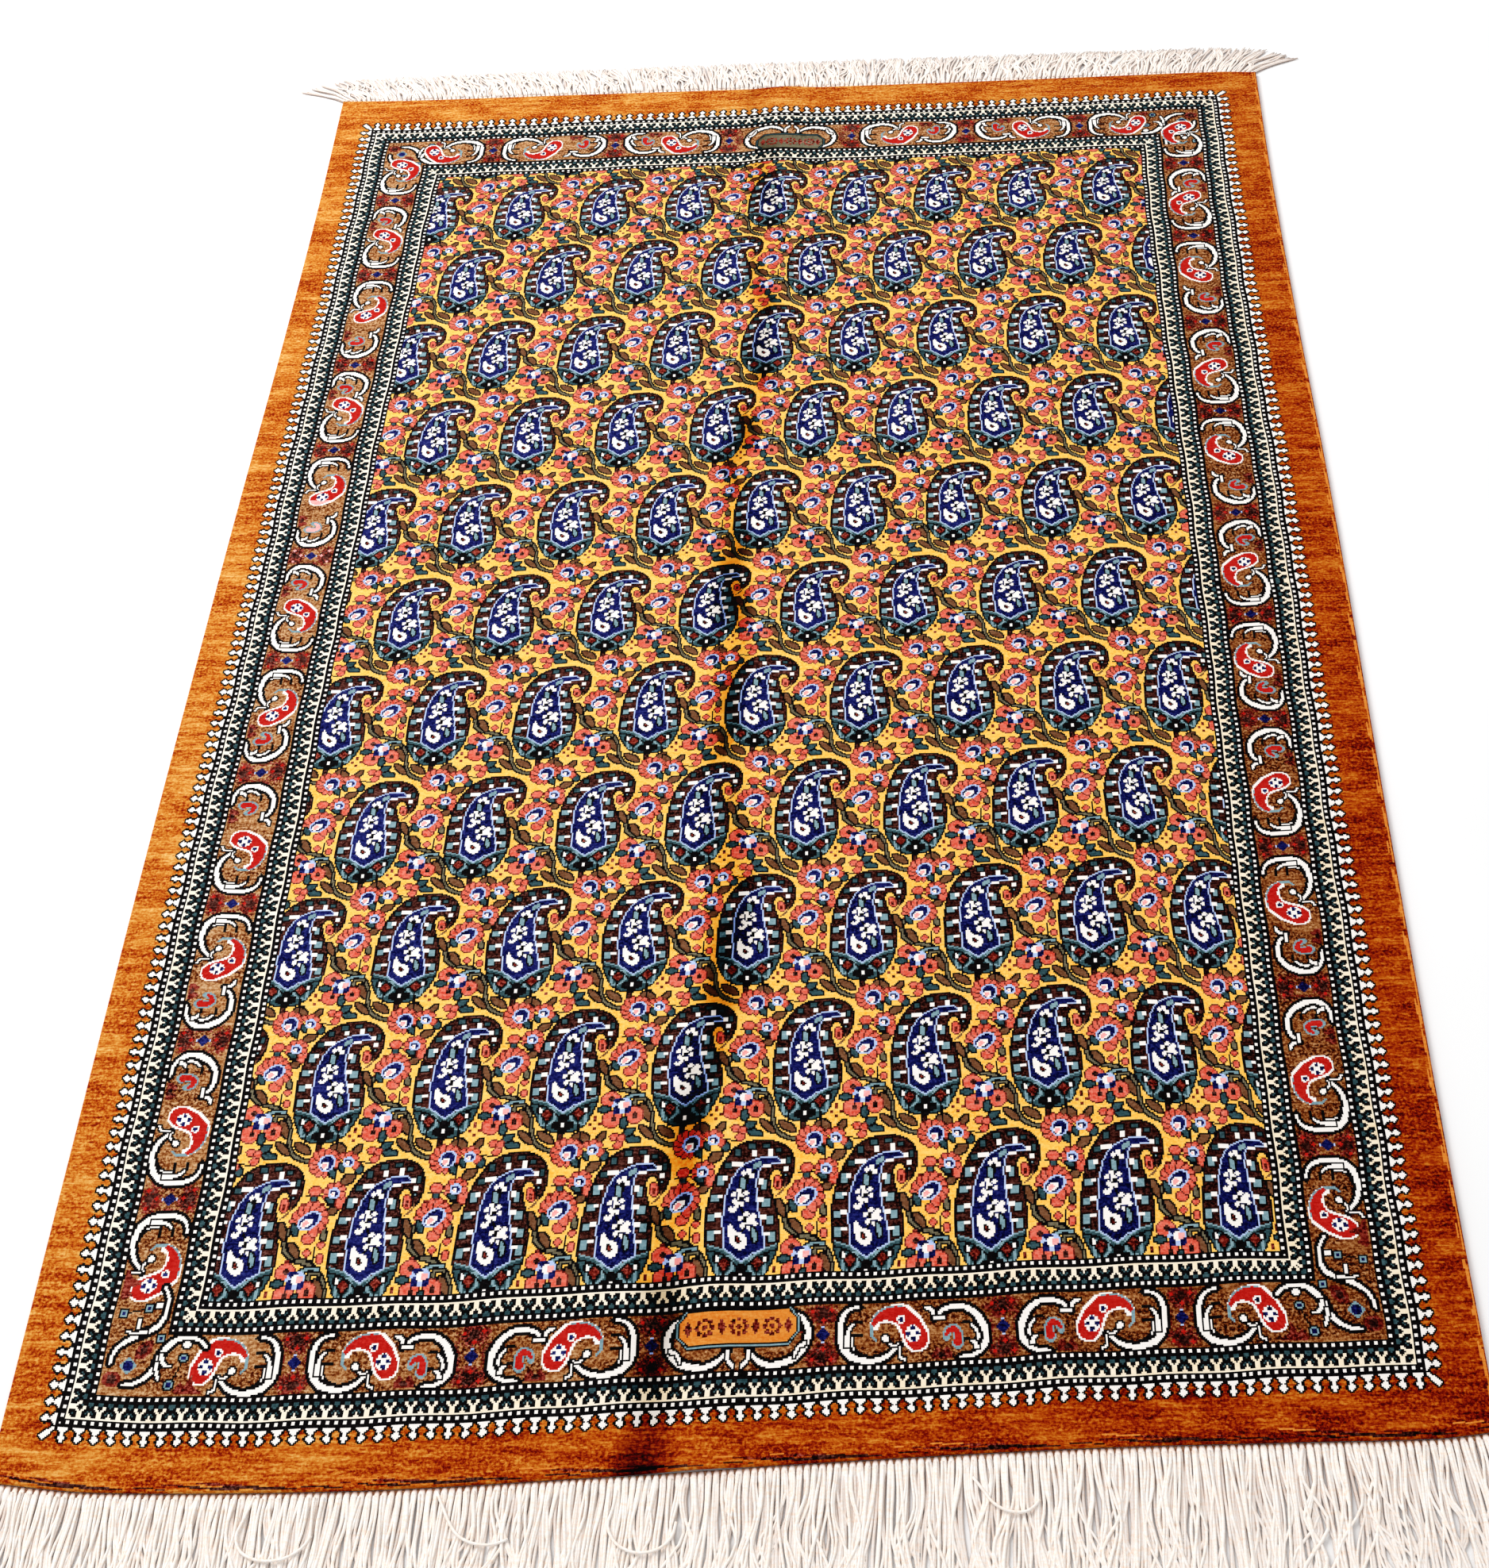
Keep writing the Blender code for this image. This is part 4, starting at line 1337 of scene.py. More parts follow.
# %% Relief of the cut knots
KNOT = 2 * HALF_WIDTH / WIDE
group, given, results = new_group(
    "cut_knots",
    (("Knots per metre", "NodeSocketFloat", 870.0), ("Fuzz", "NodeSocketFloat", 0.4)),
    (("Height", "NodeSocketFloat"),),
)
place = add_node(group, "TexCoord").outputs["Object"]
cells = add_node(
    group,
    "TexVoronoi",
    {"Vector": place, "Scale": given["Knots per metre"], "Randomness": 0.45},
    feature="F1",
    voronoi_dimensions="2D",
)
tufts = maths(group, "SUBTRACT", 1.0, cells.outputs["Distance"])
fuzz = maths(group, "MULTIPLY", speckle(group, place, 2600.0, 2.0), given["Fuzz"])
group.links.new(maths(group, "ADD", tufts, fuzz), results["Height"])
print("a knot is", round(KNOT * 1000, 2), "mm")

# %% [markdown]
# One material for each silk. The shader's sheen gives the bright rim that silk shows at a low angle; it
# is set on the shader itself, as are all values that are the same everywhere. The plain rust and the gold
# show the painted nap sheen and shade most, and the darkest and lightest silks least.

# %% The silks as materials
SILK_LOOKS = {
    # name: (painted nap sheen and shade with dye clouds, streaks, mottling)
    "rust": (0.66, 0.66, 0.50),
    "gold": (0.14, 0.20, 0.24),
    "ochre": (0.52, 0.50, 0.85),
    "brick": (0.30, 0.35, 0.80),
    "maroon": (0.30, 0.40, 0.60),
    "coral": (0.14, 0.24, 0.30),
    "cream": (0.45, 0.10, 0.10),
    "navy": (0.25, 0.30, 0.40),
}
PLAIN_LOOK = (0.05, 0.16, 0.16)
RELIEF = {"Strength": 0.35, "Distance": 0.0004}
silk_materials = []
for name, colour in SILKS.items():
    material, tree, shader = new_material("silk_" + name)
    sheen_and_cloud_share, streak_share, mottle_share = SILK_LOOKS.get(name, PLAIN_LOOK)
    values = {"Silk": linear(colour), "Sheen and clouds": sheen_and_cloud_share, "Streaks": streak_share, "Mottling": mottle_share}
    look = place_group(tree, "sheen_shade_and_dye", **values)
    relief = place_group(tree, "cut_knots")
    bump = add_node(tree, "Bump", {"Height": relief.outputs["Height"], **RELIEF})
    rough = limits(tree, look.outputs["Depth"], -1.0, 1.0, 0.52, 0.68)
    feed(tree, shader, {
        "Base Color": look.outputs["Colour"], "Normal": bump.outputs["Normal"], "Roughness": rough,
        "Specular IOR Level": 0.02, "Sheen Weight": 0.01, "Sheen Roughness": 0.5,
        "Sheen Tint": linear(colour),
    })
    silk_materials.append(material)
print("silk materials:", len(silk_materials))


# %% [markdown]
# The pile as a mesh. A million square knots would be too heavy, but most neighbours share a silk. Each
# row is cut into runs of one silk, and equal runs in following rows are joined into blocks, never longer
# than twelve knots, so that they still follow the rug's bows and fold.


# %% Blocks of equal knots
LONGEST_BLOCK = 12


def silk_blocks(part, longest=LONGEST_BLOCK):
    """Blocks (left, right, top, bottom, silk) that cover a part of the chart."""
    high, wide = part.shape
    steps = np.arange(0, wide, longest)
    done, going = [], {}
    for y in range(high + 1):
        runs = {}
        if y < high:
            cuts = np.union1d(np.flatnonzero(np.diff(part[y])) + 1, steps)
            ends = [*cuts[1:].tolist(), wide]
            for left, right, silk in zip(cuts.tolist(), ends, part[y, cuts].tolist()):
                key = (left, right, silk)
                runs[key] = going.get(key, y) if y % longest else y
        for (left, right, silk), top in going.items():
            if runs.get((left, right, silk)) != top:
                done.append((left, right, top, y, silk))
        going = runs
    return np.array(done)


def fewest_blocks(part):
    """The blocks of a part, joined along its rows or along its columns, whichever gives fewer."""
    rows = silk_blocks(part)
    columns = silk_blocks(part.T)[:, [2, 3, 0, 1, 4]]
    return rows if len(rows) <= len(columns) else columns


print("blocks in a plain corner:", len(fewest_blocks(chart[:LONGEST_BLOCK, :LONGEST_BLOCK])))

# %% [markdown]
# Making a mesh from arrays. Blender can build a mesh face by face, but for so many faces it is far quicker
# to hand it whole arrays: points, faces, the silk of each face, and a flat map. Every piece rides on the
# rug's one body.


# %% Making a mesh from arrays
def finish_mesh(name, points, faces, materials, silks=None, uv=None):
    """A mesh piece from arrays; silks gives each face its material, uv each face corner its place."""
    faces = np.asarray(faces)
    mesh = bpy.data.meshes.new(name)
    mesh.vertices.add(len(points))
    mesh.vertices.foreach_set("co", np.asarray(points, np.float32).ravel())
    mesh.loops.add(faces.size)
    mesh.loops.foreach_set("vertex_index", faces.ravel().astype(np.int32))
    mesh.polygons.add(len(faces))
    mesh.polygons.foreach_set("loop_start", np.arange(0, faces.size, faces.shape[1], dtype=np.int32))
    for material in materials:
        mesh.materials.append(material)
    if silks is not None:
        mesh.polygons.foreach_set("material_index", np.asarray(silks, np.int32))
    mesh.polygons.foreach_set("use_smooth", np.ones(len(faces), bool))
    if uv is not None:
        layer = mesh.uv_layers.new(name="OFBake")
        layer.data.foreach_set("uv", np.asarray(uv, np.float32).ravel())
    mesh.update(calc_edges=True)
    mesh.validate()
    piece = bpy.data.objects.new(name, mesh)
    scene.collection.objects.link(piece)
    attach(piece, "root")
    return piece


def corner_map(*corners):
    """The flat map of a row of four-sided faces, from arrays (u, v) for each of their corners."""
    return np.stack([np.stack(pair, axis=-1) for pair in corners], axis=1)


# %% [markdown]
# The patches of pile. The chart is cut into 24 patches. Their points lie on the pile's top, so they meet
# without a gap, and each face has the material of its silk.

# %% The patches of pile
PATCH_COLUMNS, PATCH_ROWS = 3, 8
column_cuts = [round(WIDE * step / PATCH_COLUMNS) for step in range(PATCH_COLUMNS + 1)]
row_cuts = [round(LONG * step / PATCH_ROWS) for step in range(PATCH_ROWS + 1)]


def make_patch(row, column):
    """One patch of pile, and its number of triangles."""
    left, right = column_cuts[column], column_cuts[column + 1]
    top, low = row_cuts[row], row_cuts[row + 1]
    blocks = fewest_blocks(chart[top:low, left:right])
    x0, x1, y0, y1, silk = blocks.T
    corner_x = np.stack([x0, x1, x1, x0], axis=1)
    corner_y = np.stack([y1, y1, y0, y0], axis=1)
    wide, high = right - left, low - top
    lattice, faces = np.unique(corner_y * (wide + 1) + corner_x, return_inverse=True)
    points = pile_top(lattice % (wide + 1) + left, lattice // (wide + 1) + top)
    uv = np.stack([corner_x / wide, 1 - corner_y / high], axis=-1)
    used = np.unique(silk)
    materials = [silk_materials[number] for number in used]
    slots = np.searchsorted(used, silk)
    name = f"pile_{row}_{column}"
    piece = finish_mesh(name, points, faces.reshape(-1, 4), materials, slots, uv)
    return piece, 2 * len(blocks)


for row in range(PATCH_ROWS):
    for column in range(PATCH_COLUMNS):
        piece, triangles = make_patch(row, column)

# %% [markdown]
# The woven back. Under the pile is the cloth of warps and wefts that the knots are tied on. Its back
# shows the knots' loops as a fine ribbed weave, in the colours that they have above, so the bands and the
# rows of drops come through, softer. Places on the back are counted in knots through the cloth's own UV
# map. The bands are steps of depth from the edge, and the drops are rings of a bent oval.

# %% The pattern as it shows on the back
BACK_START, BACK_SHARE = 0.05, 0.95
FIELD_START = 110, 120
FIRST_DROP = 42, 7
BACK_DROPS, DROP_HALF = (75.8, 98.5), (20, 39)
BACK_WHITE, BACK_CORAL = (214, 208, 200), (206, 116, 86)
BANDS_FROM, BANDS_TO = -20, 100
BACK_BANDS = (
    # depth into the pattern in knots, and the silk's colour
    (BANDS_FROM, (172, 92, 34)), (0, (96, 90, 82)), (GUARD, (138, 84, 46)),
    (GUARD + BORDER, (96, 90, 82)), (FIELD_EDGE, (226, 168, 84)),
)
BACK_RINGS = (
    # distance from the drop's middle, squared, and the colour from there on
    (0, (44, 50, 108)), (0.40, (120, 136, 170)), (0.47, (84, 62, 52)), (1.0, (84, 62, 52)),
)
TIP_BEND, DROP_TAPER = 2.0, 0.9


def stepped(tree, value, steps, low, high):
    """Colours that change at once at the given values."""
    span = high - low
    ramp = add_node(tree, "ValToRGB", {"Fac": maths(tree, "MULTIPLY_ADD", value, 1 / span, -low / span)})
    ramp.color_ramp.interpolation = "CONSTANT"
    for number, (at, paint) in enumerate(steps):
        stop = ramp.color_ramp.elements[number] if number < 2 else ramp.color_ramp.elements.new(1.0)
        stop.position = (at - low) / span
        stop.color = linear(paint)
    return ramp.outputs["Color"]


# %% The bands and drops of the back
def knots_on_the_back(tree):
    """Places across and along the back, in knots."""
    uv = add_node(tree, "UVMap", uv_map="OFBake").outputs["UV"]
    flat = add_node(tree, "SeparateXYZ", {0: uv}).outputs
    across = maths(tree, "MULTIPLY_ADD", flat["X"], WIDE / BACK_SHARE, WIDE - WIDE / BACK_SHARE)
    along = maths(tree, "MULTIPLY_ADD", flat["Y"], -LONG / BACK_SHARE, LONG / BACK_SHARE)
    return across, along


def depth_on_the_back(tree, across, along):
    """How many knots a place lies inside the outer guard's edge."""
    beside = maths(tree, "ABSOLUTE", maths(tree, "SUBTRACT", across, LEFT_MARGIN + GUARD_WIDE / 2))
    above = maths(tree, "ABSOLUTE", maths(tree, "SUBTRACT", along, FAR_MARGIN + GUARD_LONG / 2))
    inside_x = maths(tree, "SUBTRACT", GUARD_WIDE / 2, beside)
    inside_y = maths(tree, "SUBTRACT", GUARD_LONG / 2, above)
    return maths(tree, "MINIMUM", inside_x, inside_y)


def drops_on_the_back(tree, across, along):
    """The squared distance from the middle of the nearest drop; it is 1 on the drop's edge."""
    first_x, first_y = (start + first for start, first in zip(FIELD_START, FIRST_DROP))
    row = maths(tree, "MULTIPLY_ADD", along, 1 / BACK_DROPS[1], -first_y / BACK_DROPS[1])
    half_drop = maths(tree, "MULTIPLY", maths(tree, "FLOOR", row), 0.5)
    column = maths(tree, "MULTIPLY_ADD", across, 1 / BACK_DROPS[0], -first_x / BACK_DROPS[0])
    off_x = maths(tree, "SUBTRACT", maths(tree, "FRACT", maths(tree, "ADD", column, half_drop)), 0.5)
    off_y = maths(tree, "SUBTRACT", maths(tree, "FRACT", row), 0.5)
    tip = maths(tree, "POWER", maths(tree, "MINIMUM", off_y, 0.0), 2.0)
    bent = maths(tree, "MULTIPLY_ADD", tip, -TIP_BEND, off_x)
    bent = maths(tree, "DIVIDE", bent, maths(tree, "MULTIPLY_ADD", off_y, DROP_TAPER, 1.0))
    wide = maths(tree, "POWER", maths(tree, "MULTIPLY", bent, BACK_DROPS[0] / DROP_HALF[0]), 2.0)
    high = maths(tree, "POWER", maths(tree, "MULTIPLY", off_y, BACK_DROPS[1] / DROP_HALF[1]), 2.0)
    return maths(tree, "ADD", wide, high)


def back_pattern(tree):
    """The colours of the back: bands, then flowers and drops in the field."""
    across, along = knots_on_the_back(tree)
    depth = depth_on_the_back(tree, across, along)
    bands = stepped(tree, depth, BACK_BANDS, BANDS_FROM, BANDS_TO)
    out = drops_on_the_back(tree, across, along)
    rings = stepped(tree, out, BACK_RINGS, 0, 2)
    place = add_node(tree, "TexCoord").outputs["Object"]
    blossom = limits(tree, speckle(tree, place, 130.0, 2.0), 0.54, 0.57)
    blossom = maths(tree, "MULTIPLY", blossom, maths(tree, "LESS_THAN", out, 0.25))
    rings = blended(tree, blossom, rings, linear(BACK_WHITE))
    flowers = limits(tree, speckle(tree, place, 78.0, 2.0), 0.50, 0.54)
    inside_field = maths(tree, "GREATER_THAN", depth, FIELD_EDGE)
    flowers = maths(tree, "MULTIPLY", flowers, inside_field)
    coral = blended(tree, flowers, bands, linear(BACK_CORAL))
    drops = maths(tree, "MULTIPLY", inside_field, maths(tree, "LESS_THAN", out, 1.0))
    return blended(tree, drops, coral, rings)


# %% The look of the woven back
woven_back, tree, shader = new_material("woven_back")
values = {"Silk": back_pattern(tree), "Sheen and clouds": 0.1, "Fold shade": 0.0, "Streaks": 0.6, "Mottling": 0.3}
look = place_group(tree, "sheen_shade_and_dye", **values)
relief = place_group(tree, "cut_knots", Fuzz=0.1)
bump = add_node(tree, "Bump", {"Height": relief.outputs["Height"], "Strength": 0.4, "Distance": 0.0004})
feed(tree, shader, {
    "Base Color": look.outputs["Colour"], "Normal": bump.outputs["Normal"], "Roughness": 0.75,
    "Specular IOR Level": 0.15,
})
print("nodes in the woven back:", len(tree.nodes))

# %% [markdown]
# The foundation. It is one closed sheet that fills the space under the patches. It follows the same plan
# and fold as the pile, a little inside the edge, where the rolled pile hides it. Its underside takes
# nearly all of the flat map, for the pattern of the back.

# %% The foundation
UNDER_PILE = 0.0006
BACK_INSET = 0.0008
BACK_COLUMNS, BACK_ROWS = 60, 84
HIDDEN_SHARE = 0.04
WALL_MAP = ((0.0, 0.041), (0.0, 0.045), (0.04, 0.045), (0.04, 0.041))


def make_foundation():
    """The closed sheet under the pile: a top, an underside and the walls between them."""
    across = np.linspace(-1, 1, BACK_COLUMNS + 1) * (1 - BACK_INSET / HALF_WIDTH)
    along = np.linspace(-1, 1, BACK_ROWS + 1) * (1 - BACK_INSET / HALF_LENGTH)
    grid_across, grid_along = np.meshgrid(across, along)
    x, y = plan_point(grid_across, grid_along)
    lift = ridge_height(grid_across, grid_along)
    top = np.stack([x, y, lift + THICKNESS - UNDER_PILE], axis=-1).reshape(-1, 3)
    under = np.stack([x, y, lift], axis=-1).reshape(-1, 3)
    ids = np.arange(top.shape[0]).reshape(BACK_ROWS + 1, BACK_COLUMNS + 1)
    quads = np.stack([ids[:-1, :-1], ids[:-1, 1:], ids[1:, 1:], ids[1:, :-1]], axis=-1).reshape(-1, 4)
    turned = quads[:, ::-1] + len(top)
    ring = np.concatenate([ids[0, :-1], ids[:-1, -1], ids[-1, :0:-1], ids[:0:-1, 0]])
    following = np.roll(ring, -1)
    walls = np.stack([ring, ring + len(top), following + len(top), following], axis=-1)[:, ::-1]
    shares = np.stack([(grid_across + 1) / 2, (grid_along + 1) / 2], axis=-1).reshape(-1, 2)
    top_uv = shares[quads] * HIDDEN_SHARE
    under_uv = BACK_START + shares[turned - len(top)] * BACK_SHARE
    wall_uv = np.tile(WALL_MAP, (len(walls), 1, 1))
    faces = np.concatenate([quads, turned, walls])
    uv = np.concatenate([top_uv, under_uv, wall_uv])
    return finish_mesh("foundation", np.concatenate([top, under]), faces, [woven_back], uv=uv)


foundation = make_foundation()
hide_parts("carpet")
print("foundation faces:", len(foundation.data.polygons))

# %% [markdown]
# The rolled edge. At its sides and ends the pile leans outwards over the edge and hides the foundation,
# as a soft round rim. It is a band that follows the rug's outline and turns from the top down to the
# floor, in the margin's own rust silk.

# %% The rolled edge
RIM_PROFILE = np.array((
    # how far inside the rug's edge, and height as a share of the thickness
    (0.00115, 1.0), (0.0007, 0.985), (0.00025, 0.93), (0.0, 0.82), (-0.0001, 0.6), (0.0, 0.35),
    (0.0002, 0.15), (0.0008, 0.02), (0.0016, 0.02),
))
RIM_STEPS = 150
MAP_ROWS = 5


def rug_outline(steps):
    """Shares across and along round the rug's outline, anticlockwise from the near left corner."""
    side = np.linspace(-1, 1, steps, endpoint=False)
    one = np.ones(steps)
    return np.concatenate([side, one, -side, -one]), np.concatenate([-one, side, one, -side])


def make_rim():
    """The band round the rug, one ring of points for each row of its profile."""
    across, along = rug_outline(RIM_STEPS)
    edge = np.stack(plan_point(across, along), axis=-1)
    ahead = np.roll(edge, -1, axis=0) - np.roll(edge, 1, axis=0)
    ahead /= np.linalg.norm(ahead, axis=1)[:, None]
    inward = np.stack([-ahead[:, 1], ahead[:, 0]], axis=-1)
    lift = ridge_height(across, along)
    rings = []
    for depth, share in RIM_PROFILE:
        flat = edge + inward * depth
        rings.append(np.column_stack([flat, lift + THICKNESS * share]))
    points = np.concatenate(rings)
    count = len(edge)
    start = np.arange(count)
    following = (start + 1) % count
    faces, uv = [], []
    per_row = RIM_STEPS // MAP_ROWS
    across_row = (start % per_row) / per_row
    for ring in range(len(rings) - 1):
        low, high = ring * count, (ring + 1) * count
        faces.append(np.stack([start + low, start + high, following + high, following + low], axis=-1))
        v0 = (start // per_row + ring / len(rings)) / (4 * RIM_STEPS / per_row)
        v1 = (start // per_row + (ring + 1) / len(rings)) / (4 * RIM_STEPS / per_row)
        u0, u1 = across_row, across_row + 1 / per_row
        uv.append(corner_map((u0, v0), (u0, v1), (u1, v1), (u1, v0)))
    rust = silk_materials[CODE["rust"]]
    return finish_mesh("rolled_edge", points, np.concatenate(faces), [rust], uv=np.concatenate(uv))


rim_piece = make_rim()
print("rolled edge faces:", len(rim_piece.data.polygons))

# %% [markdown]
# The fringe's silk is the undyed warp itself: ivory, twisted from fine threads, so each yarn shows a
# slanting twist and a soft shine. Deep between the yarns the shade looks warm brown, most of all near
# the pile, where the bundles are packed. That shade is painted: the colour is mixed towards a warm brown
# the lower a yarn lies over the floor and the nearer it is to the pile.

# %% The look of the ivory warps
IVORY, SHADED, DEEP_SHADE = (255, 246, 238), (150, 100, 66), (140, 88, 54)
PACKED_FROM, PACKED_TO = 0.004, 0.090
ivory_warp, tree, shader = new_material("ivory_warp")
values = {"Silk": linear(IVORY), "Sheen and clouds": 0.0, "Streaks": 0.6, "Mottling": 0.5, "Fold shade": 0.0}
look = place_group(tree, "sheen_shade_and_dye", **values)
place = add_node(tree, "TexCoord").outputs["Object"]
threads = {"Vector": place, "Scale": 260.0, "Distortion": 1.0}
twist = add_node(tree, "TexWave", threads, bands_direction="DIAGONAL")
bump = add_node(tree, "Bump", {"Height": twist.outputs["Fac"], "Strength": 0.25, "Distance": 0.0003})
rough = limits(tree, look.outputs["Depth"], -1.0, 1.0, 0.42, 0.6)
parts = add_node(tree, "SeparateXYZ", {0: place}).outputs
# Painted shade: warm brown on yarns that lie low over the floor and near the pile
low = limits(tree, parts["Z"], 0.0004, 0.0026, 1.0, 0.0)
from_pile = maths(tree, "ABSOLUTE", maths(tree, "SUBTRACT", parts["Y"], float(-MIDDLE[1])))
packed = limits(tree, from_pile, HALF_LENGTH + PACKED_FROM, HALF_LENGTH + PACKED_TO, 0.85, 0.12)
gap_shade = maths(tree, "MULTIPLY", low, packed)
mixed = blended(tree, gap_shade, look.outputs["Colour"], linear(DEEP_SHADE))
feed(tree, shader, {
    "Base Color": mixed, "Normal": bump.outputs["Normal"], "Roughness": rough, "Specular IOR Level": 0.2,
    "Sheen Weight": 0.05,
})
print("nodes in the ivory warp:", len(tree.nodes))

# %% [markdown]
# The headings. Where the pile stops, a few millimetres of plain weave hold the warps. Only a thin cream
# line of it shows at the far end, between the pile and the fringe. At the near end it lies deep between
# the bundles, in a copy of the same silk with painted shade: a browner base colour.

# %% The headings
SEWN_GAP, HEADING_WIDTH, HEADING_INSET = 0.0003, 0.005, 0.002
HEADING_TOP = 0.0012
HEADING_STEPS = 200
HEADING_PROFILE = (
    # shares of the heading's width and height
    (0.0, 0.0), (0.0, 1.0), (0.25, 1.35), (0.6, 1.15), (1.0, 1.0), (1.0, 0.0),
)


def make_heading(name, outward, material):
    """A closed strip along an end: outward is -1 at the near end and 1 at the far end."""
    across = np.linspace(-1, 1, HEADING_STEPS + 1) * (1 - HEADING_INSET / HALF_WIDTH)
    x, y = plan_point(across, np.full_like(across, outward))
    rings = []
    for share, up in HEADING_PROFILE:
        out = y + outward * (SEWN_GAP + share * HEADING_WIDTH)
        rings.append(np.column_stack([x, out, np.full_like(x, up * HEADING_TOP)]))
    points = np.concatenate(rings)
    count = len(across)
    start = np.arange(count - 1)
    faces, uv = [], []
    for ring in range(len(rings)):
        low, high = ring * count, (ring + 1) % len(rings) * count
        quads = np.stack([start + low, start + 1 + low, start + 1 + high, start + high], axis=-1)
        faces.append(quads[:, ::outward])
        u0, u1 = start / count, (start + 1) / count
        v0, v1 = np.full_like(u0, ring / len(rings)), np.full_like(u0, (ring + 1) / len(rings))
        corners = ((u0, v0), (u1, v0), (u1, v1), (u0, v1))[::outward]
        uv.append(corner_map(*corners))
    piece = finish_mesh(name, points, np.concatenate(faces), [material], uv=np.concatenate(uv))
    return piece


# A copy of the ivory warp with painted shade, browner, for the near heading deep between the bundles
shaded_warp = ivory_warp.copy()
shaded_warp.name = "shaded_warp"
silk = next(node for node in shaded_warp.node_tree.nodes if node.type == "GROUP").inputs["Silk"]
silk.default_value = linear(SHADED)
heading_near = make_heading("heading_near", -1, shaded_warp)
heading_far = make_heading("heading_far", 1, ivory_warp)
print("heading faces:", len(heading_near.data.polygons))

# %% [markdown]
# The fringes. Along each end the warps are gathered into about two hundred bundles. Each bundle folds
# over in a thick soft roll, leans a little with its neighbours, and opens into single yarns that lie on
# the floor and on each other. Curves with a bevel would do, but two thousand of them are slow. So a tube
# is drawn round each path: points along its middle, and a ring of corners round every point. All tubes of
# a stretch become one mesh.


# %% Tubes round many paths
LOWEST = 0.00005


def close_ends(mesh):
    """Closes the open rings at both ends of every tube."""
    work = bmesh.new()
    work.from_mesh(mesh)
    open_edges = [edge for edge in work.edges if edge.is_boundary]
    bmesh.ops.holes_fill(work, edges=open_edges, sides=0)
    bmesh.ops.recalc_face_normals(work, faces=work.faces[:])
    work.to_mesh(mesh)
    work.free()


def tube_mesh(name, paths, widths, heights, sides, material):
    """Closed tubes round paths (tubes, steps, 3), each with its widths and heights (tubes, steps)."""
    tubes, steps, _ = paths.shape
    ahead = np.gradient(paths, axis=1)
    across = np.stack([ahead[..., 1], -ahead[..., 0], np.zeros_like(ahead[..., 0])], axis=-1)
    across /= np.maximum(np.linalg.norm(across, axis=-1), 1e-9)[..., None]
    angles = 2 * math.pi * np.arange(sides) / sides
    ring = across[:, :, None, :] * (np.cos(angles) * widths[..., None] / 2)[..., None]
    ring[..., 2] += np.sin(angles) * heights[..., None] / 2
    points = paths[:, :, None, :] + ring
    ids = np.arange(tubes * steps * sides).reshape(tubes, steps, sides)
    after = np.roll(ids, -1, axis=2)
    quads = np.stack([ids[:, :-1], ids[:, 1:], after[:, 1:], after[:, :-1]], axis=-1).reshape(-1, 4)
    points = points.reshape(-1, 3)
    points[:, 2] = np.maximum(points[:, 2], LOWEST)
    low, high = points.min(axis=0), points.max(axis=0)
    flat = (points[:, :2] - low[:2]) / (high[:2] - low[:2])
    piece = finish_mesh(name, points, quads, [material], uv=flat[quads])
    close_ends(piece.data)
    return piece


print("tubes start at", LOWEST * 1000, "mm over the floor")

# %% [markdown]
# Where the warps lie. The fringe spreads to both sides, most of all at the far end, and neighbouring
# bundles lean together into clumps. One function gives the path of any warp from where it leaves the rug,
# so rolls and yarns stay together.

# %% Where the warps lie
LEANS = np.array((
    # across, near, far
    (-1.00, -0.06, -0.95), (-0.93, -0.02, -0.50), (-0.75, -0.02, -0.36), (-0.40, -0.06, -0.30),
    (0.00, -0.05, -0.06), (0.35, 0.00, 0.18), (0.70, 0.00, 0.30), (0.93, 0.10, 0.50), (1.00, 0.26, 0.90),
))
CLUMP_PITCH, CLUMP_REACH = 0.043, 0.0042
NEAR_FRINGE, FAR_FRINGE = 0.1, 0.05
BUNDLES = 200
chance = np.random.default_rng(7)


def warp_path(across, end, outward, reach, wander=0.0):
    """Places (x, y) along warps that leave the end at shares across and reach so many metres out."""
    across = np.asarray(across, float)
    root_x, root_y = plan_point(across, np.full_like(across, outward))
    lean = between(LEANS, np.clip(across, -1, 1), end)
    share = reach / (NEAR_FRINGE if outward < 0 else FAR_FRINGE)
    turn = 2 * math.pi * (root_x + 0.004 * np.sin(root_x * 60)) / CLUMP_PITCH
    clump = CLUMP_REACH * (np.sin(turn) + 0.3 * np.sin(2.3 * turn + 1))
    side = lean * reach * (0.55 + 0.45 * share) + clump * share**2 + wander
    drop = reach * np.sqrt(np.maximum(1 - lean**2, 0.1))
    return root_x + side, root_y + outward * (SEWN_GAP + drop)


def bundle_share(bundles):
    """The shares across at which bundles leave the rug."""
    return (-1 + 2 * (bundles + 0.5) / BUNDLES) * (1 - HEADING_INSET / HALF_WIDTH)


middle_warp = warp_path([0.0], 1, -1, NEAR_FRINGE)
print("the middle warp ends at:", [round(float(value[0]), 4) for value in middle_warp])

# %% [markdown]
# The rolls of the bundles. Where a bundle leaves the rug its warps are folded back and bound, which makes
# a plump roll. It is a short tube that rises, swells and thins out again, each with a size of its own.

# %% The rolls of the bundles
ROLL_STEPS, ROLL_SIDES = 9, 8
ROLL_SHARES = (0, 0.12, 0.3, 0.7, 1)
ROLL_WIDTHS = (0.0032, 0.0042, 0.0047, 0.0036, 0.0016)
ROLL_HEIGHTS = (0.0014, 0.0020, 0.0025, 0.0018, 0.0009)
NEAR_ROLLS, FAR_ROLLS = 0.022, 0.016
ROLL_START = 0.0002


